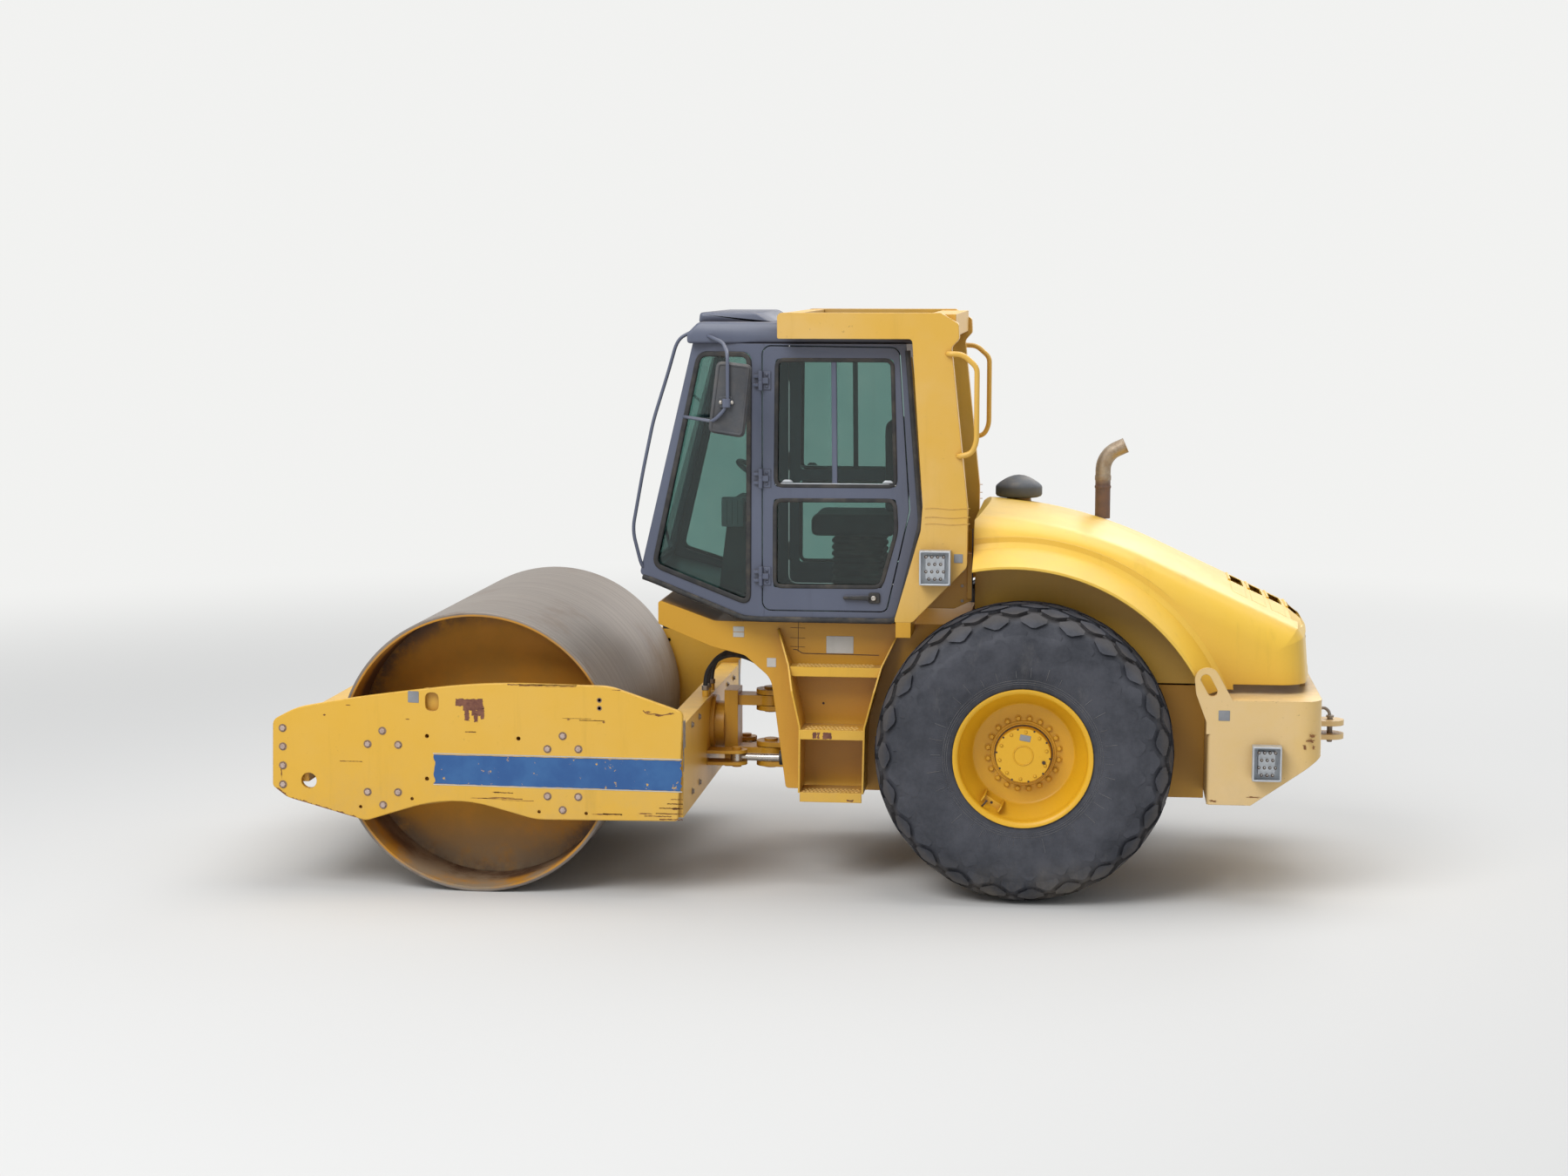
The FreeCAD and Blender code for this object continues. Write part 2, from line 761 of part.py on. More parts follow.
# The outline of the rear frame's side wall: (x, z, corner radius)
WALL_OUTLINE = (
    (NECK_TOP_X - 557, 1505, 15),
    (NECK_TOP_X - 557, 1374, 15),
    (NECK_TOP_X - 269, 1255, 60),
    (NECK_TOP_X - 84, 1210, 60),
    (NECK_X + 60, 1085, 120),
    (NECK_X + 140, WALL_BOTTOM, 20),
    (TAIL_FRONT_X, WALL_BOTTOM),
    (TAIL_FRONT_X, BAY_TOP),
    (820, BAY_TOP, 15),
    (800, WALL_TOP, 20),
    (NECK_TOP_X - 245, WALL_TOP, 60),
)


def neck_skin():
    """The plate that follows the neck's front and underside, with the cab floor's plate."""
    full = plate_xz(WALL_OUTLINE, -INNER_Y, INNER_Y)
    t = WALL_THICK
    hollow = [
        (NECK_TOP_X - 557 + t, 1470, 10),
        (NECK_TOP_X - 557 + t, 1374 + t, 10),
        (NECK_TOP_X - 269 + t / 3, 1255 + t, 50),
        (NECK_TOP_X - 84 + t / 2, 1210 + t, 50),
        (NECK_X + 60 + t, 1085 + 12, 40),
        (NECK_X + 60 + t, 1070),
        (NECK_X - 700, 1070),
        (NECK_X - 700, 300),
        (TAIL_FRONT_X + 10, 300),
        (TAIL_FRONT_X + 10, BAY_TOP + 10),
        (820, BAY_TOP + 10),
        (820, WALL_TOP + 10),
        (FIREWALL_X, WALL_TOP + 10),
        (FIREWALL_X, WALL_TOP - FLOOR_THICK),
        (NECK_TOP_X - 245 + t, WALL_TOP - FLOOR_THICK, 50),
    ]
    return full.cut(plate_xz(hollow, -WALL_Y, WALL_Y))


def chassis():
    """Two side walls with the neck, floor, bulkheads and cross members, welded together."""
    pieces = [neck_skin()]
    for name, side in SIDES:
        y0, y1 = side_pair(INNER_Y, WALL_Y, side)
        pieces.append(plate_xz(WALL_OUTLINE, y0, y1))
    bulkhead = 25
    x = DRAWN_BULKHEAD_X
    pieces.append(box(x, x + bulkhead, -INNER_Y, INNER_Y, WALL_BOTTOM, WALL_TOP - FLOOR_THICK))
    pieces.append(box(FIREWALL_X, FIREWALL_X + 10, -INNER_Y, INNER_Y, 950, WALL_TOP))
    pieces.append(box(TAIL_FRONT_X - 20, TAIL_FRONT_X, -INNER_Y, INNER_Y, WALL_BOTTOM, BAY_TOP))
    for x0 in (ENGINE_X[0] + 370, ENGINE_X[1] - 100):
        pieces.append(box(x0, x0 + 60, -INNER_Y, INNER_Y, ENGINE_Z[0] - 50, ENGINE_Z[0]))
    beam_y = ROPS_OUTER_Y
    pieces.append(box(*CROSSBEAM_X, -beam_y, beam_y, *CROSSBEAM_Z))
    for route in HOSE_ROUTES:
        y, z = route[-1][1:]
        pieces.append(rod_along_x(y, z + HINGE_RISE, GLAND_R, x - GLAND_HEIGHT - 4, x + 1))
    frame = fused(pieces)
    window_y, window_z = 110, 70
    for name, side in SIDES:
        y = side * CYL_REAR[1]
        z = CYL_Z + HINGE_RISE
        frame = frame.cut(
            box(x - 5, x + bulkhead + 5, y - window_y, y + window_y, z - window_z, z + window_z)
        )
    axle_r = AXLE_TUBE_R + RUNNING_GAP
    return frame.cut(rod_along_y(DRAWN_AXLE_X, DRAWN_AXLE_Z, axle_r, -WALL_Y - 1, WALL_Y + 1))


def tanks():
    """Oil and fuel tanks between the walls, from the bulkhead to the firewall."""
    gap = 30
    front = DRAWN_BULKHEAD_X + 25 + gap
    rear = FIREWALL_X - gap
    middle = (front + rear) / 2
    low, high = 700, 1180
    shapes = []
    for x0, x1 in ((front, middle - gap / 2), (middle + gap / 2, rear)):
        shapes.append(box(x0, x1, -INNER_Y, INNER_Y, low, high))
    return Part.makeCompound(shapes)


# One step rail from top to foot, from the tyre's front: (x of the front rail, x of the rear, z)
STEP_STATIONS = ((-547, 96, 1358), (-478, 10, 1180), (-408, -74, 862), (-412, -81, 508))
TREAD_LEVELS = (1175, 850, 512)
TREAD_HEIGHT = 52
TREAD_THICK = 8
STEP_OUT_Y = WALL_Y + STEP_OUT


def step_side(stations, side):
    """One bent plate rail: shallow at the top, as deep as the tread at its foot."""
    pieces = []
    y0, y1 = side_pair(WALL_Y, STEP_OUT_Y, side)
    for (x_top, z_top), (x_low, z_low) in zip(stations, stations[1:]):
        run = [(x_top - STEP_PLATE, z_top), (x_low - STEP_PLATE, z_low), (x_low, z_low), (x_top, z_top)]
        pieces.append(plate_xz(run, y0, y1))
    rail = fused(pieces)
    top_z = stations[0][1]
    slope = [
        (side * (STEP_OUT_Y + 1), TREAD_LEVELS[0] - 120),
        (side * (STEP_OUT_Y + 1), top_z + 1),
        (side * (WALL_Y + 30), top_z + 1),
    ]
    x_all = [x for x, z in stations]
    return rail.cut(plate_yz(slope, min(x_all) - 60, max(x_all) + 60))


def interpolate(stations, level):
    """The rail's x at a level."""
    for (x0, z0), (x1, z1) in zip(stations, stations[1:]):
        if z1 <= level <= z0:
            return x0 + (x1 - x0) * (z0 - level) / (z0 - z1)
    return stations[-1][0]


def steps(side):
    """Two bent rails with three treads between them."""
    front = [(TYRE_FRONT_X + s[0], s[2]) for s in STEP_STATIONS]
    rear = [(TYRE_FRONT_X + s[1] + STEP_PLATE, s[2]) for s in STEP_STATIONS]
    pieces = [step_side(front, side), step_side(rear, side)]
    top_tread_in = 90
    for level in TREAD_LEVELS:
        out = STEP_OUT_Y - (top_tread_in if level == TREAD_LEVELS[0] else 0)
        x0 = interpolate(front, level)
        x1 = interpolate(rear, level) - STEP_PLATE
        y0, y1 = side_pair(WALL_Y + 40, out, side)
        pieces.append(box(x0, x1, y0, y1, level - TREAD_THICK, level))
        lip0, lip1 = side_pair(out - TREAD_THICK, out, side)
        pieces.append(box(x0, x1, lip0, lip1, level - TREAD_HEIGHT, level))
    return fused(pieces)


# Tail weight, tow hitch and the hood's hinges

# The side plate's lug, above the tail's top: (x from the tail's front, z from the tail's top, radius)
LUG_OUTLINE = (
    (-8, -178),
    (-8, -115, 20),
    (-63, 32, 60),
    (-78, 167, 62),
    (32, 167, 62),
    (124, 0, 20),
    (124, -178),
)
# The lug's leaning slot: the centres of its two ends, and its radius
LUG_SLOT = ((-14, 108), (20, 46))
LUG_SLOT_R = 26
LUG_THICK = 22
HOOD_HINGE = (TAIL_REAR_X - 65, TAIL_TOP + 36)
HOOD_HINGE_Y = HOOD_HALF_WIDTH - 360
HOOD_REAR_FOOT = (TAIL_REAR_X - 22, TAIL_TOP + 50)


def lifting_lug(side):
    """The tail's outer side plate, drawn up into a lug with a leaning slot."""
    y0, y1 = side_pair(TAIL_HALF_WIDTH - LUG_THICK, TAIL_HALF_WIDTH, side)
    corners = [(TAIL_FRONT_X + c[0], TAIL_TOP + c[1]) + tuple(c[2:]) for c in LUG_OUTLINE]
    plate = plate_xz(corners, y0, y1)
    (xa, za), (xb, zb) = [(TAIL_FRONT_X + x, TAIL_TOP + z) for x, z in LUG_SLOT]
    length = math.hypot(xb - xa, zb - za)
    ax, az = (zb - za) / length * LUG_SLOT_R, -(xb - xa) / length * LUG_SLOT_R
    middle = [(xa + ax, za + az), (xb + ax, zb + az), (xb - ax, zb - az), (xa - ax, za - az)]
    slot = [
        rod_along_y(xa, za, LUG_SLOT_R, y0 - 1, y1 + 1),
        rod_along_y(xb, zb, LUG_SLOT_R, y0 - 1, y1 + 1),
        plate_xz(middle, y0 - 1, y1 + 1),
    ]
    return plate.cut(fused(slot))


def hood_hinge_seat(side):
    """Two cheeks on the tail's top with the pin that carries the hood's knuckle."""
    x, z = HOOD_HINGE
    half = HOOD_HINGE_WIDTH / 2 + RUNNING_GAP
    cheek = 12
    middle = side * HOOD_HINGE_Y
    pieces = [rod_along_y(x, z, HOOD_PIN_R, middle - half - cheek, middle + half + cheek)]
    for level in (-1, 1):
        y0, y1 = sorted((middle + level * half, middle + level * (half + cheek)))
        pieces.append(box(x - HOOD_HINGE_R, x + HOOD_HINGE_R, y0, y1, TAIL_TOP - 1, z))
        pieces.append(rod_along_y(x, z, HOOD_HINGE_R, y0, y1))
    return pieces


def hood_knuckle(side):
    """The hood's share of a hinge, on the inside of its rear foot."""
    x, z = HOOD_HINGE
    half = HOOD_HINGE_WIDTH / 2
    middle = side * HOOD_HINGE_Y
    barrel = rod_along_y(x, z, HOOD_HINGE_R, middle - half, middle + half)
    foot_x, foot_z = HOOD_REAR_FOOT
    strap = box(x, foot_x - 18, middle - half, middle + half, z, foot_z + 27)
    bore = rod_along_y(x, z, HOOD_PIN_R + RUNNING_GAP, middle - half - 1, middle + half + 1)
    return barrel.fuse(strap).cut(bore)


def tail_weight():
    """Heavy tail box with rounded rear corners, a chamfered underside and two lifting lugs."""
    wide = TAIL_HALF_WIDTH
    plan = [
        (TAIL_FRONT_X, -wide, 20),
        (TAIL_REAR_X, -wide, TAIL_CORNER_R),
        (TAIL_REAR_X, wide, TAIL_CORNER_R),
        (TAIL_FRONT_X, wide, 20),
    ]
    body = plate_xy(plan, TAIL_BOTTOM, TAIL_TOP)
    under = [
        (TAIL_REAR_X - 361, TAIL_BOTTOM - 1),
        (TAIL_REAR_X + 50, TAIL_BOTTOM - 1),
        (TAIL_REAR_X + 50, TAIL_BOTTOM + 290),
        (TAIL_REAR_X + 5, TAIL_BOTTOM + 256),
    ]
    pieces = [body.cut(plate_xz(under, -wide - 1, wide + 1))]
    for name, side in SIDES:
        pieces.append(lifting_lug(side))
        pieces += hood_hinge_seat(side)
    return fused(pieces)


def tow_hitch():
    """Two level plates with a pin hole, welded to the tail."""
    half = 75
    mouth = HITCH_GAP / 2
    far = mouth + HITCH_PLATE
    pin_x = TAIL_REAR_X + HITCH_REACH - half
    pieces = [box(TAIL_REAR_X, TAIL_REAR_X + 60, -half, half, HITCH_Z - far, HITCH_Z + far)]
    for level in (-1, 1):
        z0, z1 = sorted((HITCH_Z + level * mouth, HITCH_Z + level * far))
        pieces.append(box(TAIL_REAR_X, pin_x, -half, half, z0, z1))
        pieces.append(rod_along_z(pin_x, 0, half, z0, z1))
    bore = rod_along_z(pin_x, 0, HITCH_BORE_R, HITCH_Z - far - 1, HITCH_Z + far + 1)
    return fused(pieces).cut(bore)


def engine_block():
    half = INNER_Y - ENGINE_SIDE_GAP
    return box(*ENGINE_X, -half, half, *ENGINE_Z)


# Cab

CAB_FRONT_FOOT = (-975, CAB_BOTTOM + 211)
CAB_FRONT_TOP = (-668, CAB_TOP)
CAB_REAR_TOP = (478, CAB_TOP)
CAB_REAR_MID = (562, CAB_BOTTOM + 528)
CAB_REAR_FOOT = (430, CAB_BOTTOM)
CAB_CHIN = (CHIN_X, CAB_BOTTOM)
FRONT_TAPER = 36
PLAN_FRONT_X = -1200
B_POST_X = -292
DOOR_FRONT_X = -281
DOOR_SILL = CAB_BOTTOM + 47
HINGE_X = DOOR_FRONT_X - 10
HINGE_LEVELS = (CAB_TOP - 194, CAB_BOTTOM + 750, CAB_BOTTOM + 228)
CAB_PROFILE = (
    CAB_FRONT_FOOT + (25,),
    CAB_CHIN + (40,),
    CAB_REAR_FOOT + (25,),
    CAB_REAR_MID + (60,),
    CAB_REAR_TOP,
    CAB_FRONT_TOP,
)
DOOR_OUTLINE = (
    (DOOR_FRONT_X, CAB_TOP - 13, 45),
    (439, CAB_TOP - 21, 45),
    (497, CAB_BOTTOM + 582, 70),
    (377, DOOR_SILL, 35),
    (DOOR_FRONT_X, DOOR_SILL, 45),
)
DOOR_UPPER_GLASS = (
    (-212, CAB_TOP - 79, 18),
    (411, CAB_TOP - 79, 18),
    (432, CAB_BOTTOM + 708, 18),
    (-218, CAB_BOTTOM + 706, 18),
)
DOOR_LOWER_GLASS = (
    (-222, CAB_BOTTOM + 640, 12),
    (427, CAB_BOTTOM + 644, 12),
    (437, CAB_BOTTOM + 475, 30),
    (354, CAB_BOTTOM + 171, 12),
    (-224, CAB_BOTTOM + 168, 12),
)
QUARTER_OUTLINE = (
    (-640, CAB_TOP - 47, 40),
    (-346, CAB_TOP - 47, 40),
    (-352, CAB_BOTTOM + 65, 60),
    (-903, CAB_BOTTOM + 258, 30),
)
WINDSCREEN_HALF_TOP = CAB_FRONT_HALF_WIDTH - 14
WINDSCREEN_HALF_FOOT = CAB_FRONT_HALF_WIDTH - 72
PILLAR_MARGIN = 60
REAR_GLASS_HALF = CAB_HALF_WIDTH - 150
REAR_GLASS_Z = (CAB_BOTTOM + 648, CAB_TOP - 73)
GLASS_DEPTH = 14
MOUNT_X = (-330, 350)
MOUNT_Y = INNER_Y - 60
ROOF_HALF_WIDTH = CAB_HALF_WIDTH - 10
# The shell is welded from a front, a rear, two door headers and a floor: (x range, z range, lean)
SPLIT_MID = (CAB_BOTTOM + CAB_TOP) / 2
SPLIT_FRONT = DOOR_FRONT_X + 6
SPLIT_REAR = 430
CAB_SPLIT = (
    (-1300, SPLIT_FRONT, CAB_BOTTOM - 100, CAB_TOP + 50, (0, 0)),
    (SPLIT_REAR, 900, CAB_BOTTOM - 100, CAB_TOP + 50, (150, 0)),
    (SPLIT_FRONT, SPLIT_REAR, CAB_BOTTOM - 100, SPLIT_MID + 1, (0, 150)),
    (SPLIT_FRONT, SPLIT_REAR, SPLIT_MID + 1, CAB_TOP + 50, (0, 0)),
)
LEVER_X = (155, 290)
LEVER_Z = (CAB_BOTTOM + 106, CAB_BOTTOM + 130)


def cab_envelope(inset):
    """The cab's outer form, or the space inside it when inset is the wall's thickness."""
    t = inset
    sides = CAB_HALF_WIDTH - t
    front = CAB_FRONT_HALF_WIDTH - t - FRONT_TAPER
    back_x = 700
    plan = [
        (PLAN_FRONT_X, -front),
        (B_POST_X, -sides),
        (back_x, -sides),
        (back_x, sides),
        (B_POST_X, sides),
        (PLAN_FRONT_X, front),
    ]
    profile = CAB_PROFILE
    over = 0
    if t:
        over = 20
        profile = (
            (CAB_FRONT_FOOT[0] + t, CAB_FRONT_FOOT[1] + 8, 10),
            (CAB_CHIN[0] + 15, CAB_CHIN[1] + CAB_FLOOR, 30),
            (CAB_REAR_FOOT[0] - t, CAB_REAR_FOOT[1] + CAB_FLOOR, 10),
            (CAB_REAR_MID[0] - t, CAB_REAR_MID[1], 50),
            (CAB_REAR_TOP[0] - t, CAB_REAR_TOP[1] + over),
            (CAB_FRONT_TOP[0] + t, CAB_FRONT_TOP[1] + over),
        )
    side_view = plate_xz(profile, -CAB_HALF_WIDTH - 10, CAB_HALF_WIDTH + 10)
    return side_view.common(plate_xy(plan, CAB_BOTTOM - 100, CAB_TOP + over + 10))


def window_cut(corners, amount, y0, y1):
    """A slab with the outline grown outwards by an amount, its corner radii grown alike."""
    face = flat_face(corners)
    if amount:
        face = face.makeOffset2D(amount, 0, False, False, True)
    face.rotate(vec(0, 0, 0), X_AXIS, 90)
    face.translate(vec(0, y0, 0))
    return face.extrude(vec(0, y1 - y0, 0))


def leaning_slab(corners, foot, top, depth_front, depth_back):
    """A slab of (y, distance up the lean) corners in the plane from foot to top, seen from the side."""
    lean = math.degrees(math.atan2(top[0] - foot[0], top[1] - foot[1]))
    slab = plate_yz(corners, -depth_front, depth_back)
    slab.rotate(vec(0, 0, 0), Y_AXIS, lean)
    slab.translate(vec(foot[0], 0, foot[1]))
    return slab


def windscreen_prism(margin, depth_out, depth_in):
    """A slab in the leaning front plane, with the windscreen's outline."""
    length = math.hypot(CAB_FRONT_TOP[0] - CAB_FRONT_FOOT[0], CAB_FRONT_TOP[1] - CAB_FRONT_FOOT[1])
    low, high = PILLAR_MARGIN - margin, length - PILLAR_MARGIN + margin
    foot, top = WINDSCREEN_HALF_FOOT + margin, WINDSCREEN_HALF_TOP + margin
    corners = [(-foot, low, 40), (foot, low, 40), (top, high, 40), (-top, high, 40)]
    return leaning_slab(corners, CAB_FRONT_FOOT, CAB_FRONT_TOP, depth_out, depth_in)


def rear_glass_prism(margin, depth_out, depth_in):
    """A slab in the leaning rear plane, with the rear window's outline."""
    low = REAR_GLASS_Z[0] - CAB_REAR_MID[1] - margin
    high = REAR_GLASS_Z[1] - CAB_REAR_MID[1] + margin
    half = REAR_GLASS_HALF + margin
    corners = [(-half, low, 40), (half, low, 40), (half, high, 40), (-half, high, 40)]
    return leaning_slab(corners, CAB_REAR_MID, CAB_REAR_TOP, depth_in, depth_out)


def quarter_prism(side, margin, depth_out, depth_in):
    """A slab in the tapered side plane, with the quarter window's outline."""
    fall = CAB_HALF_WIDTH - (CAB_FRONT_HALF_WIDTH - FRONT_TAPER)
    taper = math.degrees(math.atan2(fall, B_POST_X - PLAN_FRONT_X))
    slab = window_cut(QUARTER_OUTLINE, margin, -depth_out, depth_in)
    slab.translate(vec(-B_POST_X, 0, 0))
    slab.rotate(vec(0, 0, 0), Z_AXIS, -taper)
    slab.translate(vec(B_POST_X, -CAB_HALF_WIDTH, 0))
    return on_side(slab, side)


def cab_shell():
    """Hollow cab with cut windows, door frames and roof opening, and its share of the hinges."""
    out, through = 60, 120
    shell = cab_envelope(0).cut(cab_envelope(CAB_WALL))
    shell = shell.cut(windscreen_prism(0, out, through))
    shell = shell.cut(rear_glass_prism(0, out, through))
    pieces = []
    bracket = 16
    for name, side in SIDES:
        y0, y1 = side_pair(CAB_HALF_WIDTH - 100, CAB_HALF_WIDTH + 20, side)
        shell = shell.cut(window_cut(DOOR_OUTLINE, DOOR_GAP, y0, y1))
        shell = shell.cut(quarter_prism(side, 0, out, 100))
        y = side * (CAB_HALF_WIDTH + HINGE_OUT)
        y0, y1 = side_pair(CAB_HALF_WIDTH - 5, CAB_HALF_WIDTH + HINGE_OUT, side)
        for z in HINGE_LEVELS:
            for level in (-1, 1):
                near = z + level * (KNUCKLE / 2 + RUNNING_GAP)
                z0, z1 = sorted((near, near + level * bracket))
                pieces.append(rod_along_z(HINGE_X, y, HINGE_R, z0, z1))
                pieces.append(box(HINGE_X - 40, HINGE_X, y0, y1, z0, z1))
    shell = fused([shell] + pieces)
    parts = []
    for x0, x1, z0, z1, lean in CAB_SPLIT:
        room = [(x0 - lean[0], z0), (x1 - lean[1], z0), (x1, SPLIT_MID), (x1, z1), (x0, z1), (x0, SPLIT_MID)]
        parts += shell.common(plate_xz(room, -CAB_HALF_WIDTH - 60, CAB_HALF_WIDTH + 60)).Solids
    return Part.makeCompound(parts)


def door(side):
    """Door leaf with two window openings, three hinge knuckles, a lever and its lock."""
    y0, y1 = side_pair(CAB_HALF_WIDTH + DOOR_PROUD - DOOR_THICK, CAB_HALF_WIDTH + DOOR_PROUD, side)
    middle = (y0 + y1) / 2
    pocket = GLASS_THICK / 2 + SEAL_GAP
    leaf = window_cut(DOOR_OUTLINE, 0, y0, y1)
    for glass in (DOOR_UPPER_GLASS, DOOR_LOWER_GLASS):
        leaf = leaf.cut(window_cut(glass, 0, y0 - 1, y1 + 1))
        leaf = leaf.cut(window_cut(glass, GLASS_SEAT, middle - pocket, middle + pocket))
    pieces = [leaf]
    face = CAB_HALF_WIDTH + DOOR_PROUD - 2
    y = side * (CAB_HALF_WIDTH + HINGE_OUT)
    b0, b1 = side_pair(face, CAB_HALF_WIDTH + HINGE_OUT + 4, side)
    for z in HINGE_LEVELS:
        z0, z1 = z - KNUCKLE / 2, z + KNUCKLE / 2
        pieces.append(rod_along_z(HINGE_X, y, HINGE_R, z0, z1))
        pieces.append(box(HINGE_X, HINGE_X + 42, b0, b1, z0, z1))
    h0, h1 = side_pair(face, CAB_HALF_WIDTH + 16, side)
    pieces.append(box(*LEVER_X, h0, h1, *LEVER_Z))
    lock_x, lock_z, lock_r = LEVER_X[1] + 22, (LEVER_Z[0] + LEVER_Z[1]) / 2, 13
    pieces.append(rod_along_y(lock_x, lock_z, lock_r, *side_pair(face, CAB_HALF_WIDTH + 12, side)))
    return fused(pieces)


def door_glass(side):
    centre = side * (CAB_HALF_WIDTH + DOOR_PROUD - DOOR_THICK / 2)
    y0, y1 = centre - GLASS_THICK / 2, centre + GLASS_THICK / 2
    seat = GLASS_SEAT - SEAL_GAP
    panes = [window_cut(g, seat, y0, y1) for g in (DOOR_UPPER_GLASS, DOOR_LOWER_GLASS)]
    return Part.makeCompound(panes)


def cab_mounts():
    """Four rubber mounts between the frame's floor and the cab, and two brackets on the neck."""
    shapes = []
    for x in MOUNT_X:
        for y in (-MOUNT_Y, MOUNT_Y):
            shapes.append(rod_along_z(x, y, MOUNT_R, WALL_TOP, CAB_BOTTOM))
    neck = plate_xz(WALL_OUTLINE, -WALL_Y, WALL_Y)
    for name, side in SIDES:
        y0, y1 = side_pair(INNER_Y - 160, INNER_Y, side)
        bracket = box(NECK_TOP_X - 535, NECK_TOP_X - 330, y0, y1, WALL_TOP - 50, CAB_FRONT_FOOT[1])
        shapes.append(bracket.cut(cab_envelope(0)).cut(neck).Solids[0])
    return Part.makeCompound(shapes)


def cab_roof():
    """Roof panel with a raised front, on the cab's walls."""
    low_top = CAB_TOP + 115
    profile = [
        (-690, CAB_TOP, 12),
        (-690, CAB_TOP + 107, 20),
        (-655, ROPS_TOP, 30),
        (-330, ROPS_TOP, 30),
        (-215, low_top, 20),
        (520, low_top, 20),
        (520, CAB_TOP, 12),
    ]
    roof = plate_xz(profile, -ROOF_HALF_WIDTH, ROOF_HALF_WIDTH)
    rim = 90
    half = ROOF_HALF_WIDTH - rim
    return roof.cut(box(-690 + rim, 520 - rim, -half, half, CAB_TOP - 1, CAB_TOP + 70))


def rops():
    """Roll-over frame: two side frames of roof beam, leaning column and foot, tied across."""
    beam_low = ROPS_TOP - 135
    foot_z = CROSSBEAM_Z[1]
    side_frame = [
        (-187, ROPS_TOP, 25),
        (-187, beam_low, 10),
        (518, beam_low, 20),
        (578, CAB_REAR_MID[1] + 96),
        (569, CAB_REAR_MID[1] - 32, 30),
        (435, foot_z + 18, 10),
        (435, foot_z, 5),
        (527, foot_z, 20),
        (812, foot_z + 295, 40),
        (812, foot_z + 603, 60),
        (722, ROPS_TOP - 178, 30),
        (762, ROPS_TOP - 133, 20),
        (758, ROPS_TOP - 56, 20),
        (666, ROPS_TOP, 20),
    ]
    inner = ROPS_OUTER_Y - ROPS_THICK
    pieces = []
    for name, side in SIDES:
        pieces.append(plate_xz(side_frame, *side_pair(inner, ROPS_OUTER_Y, side)))
    pieces.append(box(590, 740, -inner, inner, beam_low + 12, ROPS_TOP - 8))
    pieces.append(box(-180, -90, -inner, inner, ROPS_TOP - 46, ROPS_TOP - 4))
    return fused(pieces)


def seat():
    """Driver's seat: pedestal, cushion and back as one padded form."""
    floor = CAB_BOTTOM + CAB_FLOOR
    cushion_low = floor + 348
    pedestal = box(40, 330, -190, 190, floor, cushion_low)
    low = cushion_low + RUNNING_GAP
    cushion = [(-80, low, 40), (400, low, 30), (400, low + 120, 30), (-60, low + 135, 40)]
    back = [(330, low + 70, 20), (425, low + 70, 30), (450, low + 650, 40), (370, low + 650, 40)]
    padding = fused([plate_xz(cushion, -250, 250), plate_xz(back, -240, 240)])
    return Part.makeCompound([pedestal, padding])


def steering_console():
    """Column with dash and steering wheel ahead of the seat."""
    floor = CAB_BOTTOM + CAB_FLOOR
    column = [(-600, floor - 80), (-330, floor - 80), (-330, floor + 478, 40), (-520, floor + 578, 40)]
    post = plate_xz(column, -150, 150).common(cab_envelope(CAB_WALL))
    centre = vec(-330, 0, floor + 648)
    axis = vec(0.5, 0, 0.87).normalize()
    rim_r, rim_tube = 190, 14
    wheel = Part.makeTorus(rim_r, rim_tube, centre, axis)
    hub = Part.makeCylinder(30, 160, centre - axis * 150, axis)
    spoke = Part.makeCylinder(9, 2 * rim_r - 4, centre - vec(0, rim_r - 2, 0), Y_AXIS)
    wheel = fused([hub, spoke, wheel]).cut(post)
    return Part.makeCompound([post, wheel])


# Mirrors, rails and lamp guards

# The leaning mirror head, as it is seen from the side: (x, z from the cab's top, radius)
MIRROR_OUTLINE = ((-485, -80, 40), (-300, -102, 40), (-344, -481, 40), (-532, -451, 40))
MIRROR_THICK = 44
# The guard tube ahead of the front pillar, from the roof down: (x, z from the cab's bottom)
GUARD_STATIONS = ((-760, 1480), (-812, 1301), (-894, 1044), (-952, 772), (-1012, 450), (-960, 243))


def mirror(side):
    """Mirror head on two bent arms, held in a clamp at its middle."""
    y0, y1 = -MIRROR_Y - MIRROR_THICK / 2, -MIRROR_Y + MIRROR_THICK / 2
    corners = [(x, CAB_TOP + z, r) for x, z, r in MIRROR_OUTLINE]
    head = plate_xz(corners, y0, y1)
    head = head.makeChamfer(8, [e for e in head.Edges if e.BoundBox.YLength < 1])
    arm_y = y0 - ARM_R
    foot_y = -CAB_FRONT_HALF_WIDTH - 40
    top_arm = [
        vec(-640, foot_y, CAB_TOP + 57),
        vec(-470, -MIRROR_Y + 120, CAB_TOP + 10),
        vec(-425, arm_y, CAB_TOP - 40),
        vec(-425, arm_y, CAB_TOP - 300),
    ]
    low_arm = [
        vec(-742, foot_y + 10, CAB_TOP - 393),
        vec(-500, arm_y, CAB_TOP - 393),
        vec(-437, arm_y, CAB_TOP - 330),
        vec(-437, arm_y, CAB_TOP - 290),
    ]
    clamp = box(-470, -405, arm_y - ARM_R, y0 + 4, CAB_TOP - 320, CAB_TOP - 270)
    whole = fused([head, clamp, bar_through(top_arm, ARM_R), bar_through(low_arm, ARM_R)])
    whole = whole.cut(cab_envelope(0)).cut(cab_roof())
    return on_side(max(whole.Solids, key=lambda s: s.Volume), side)


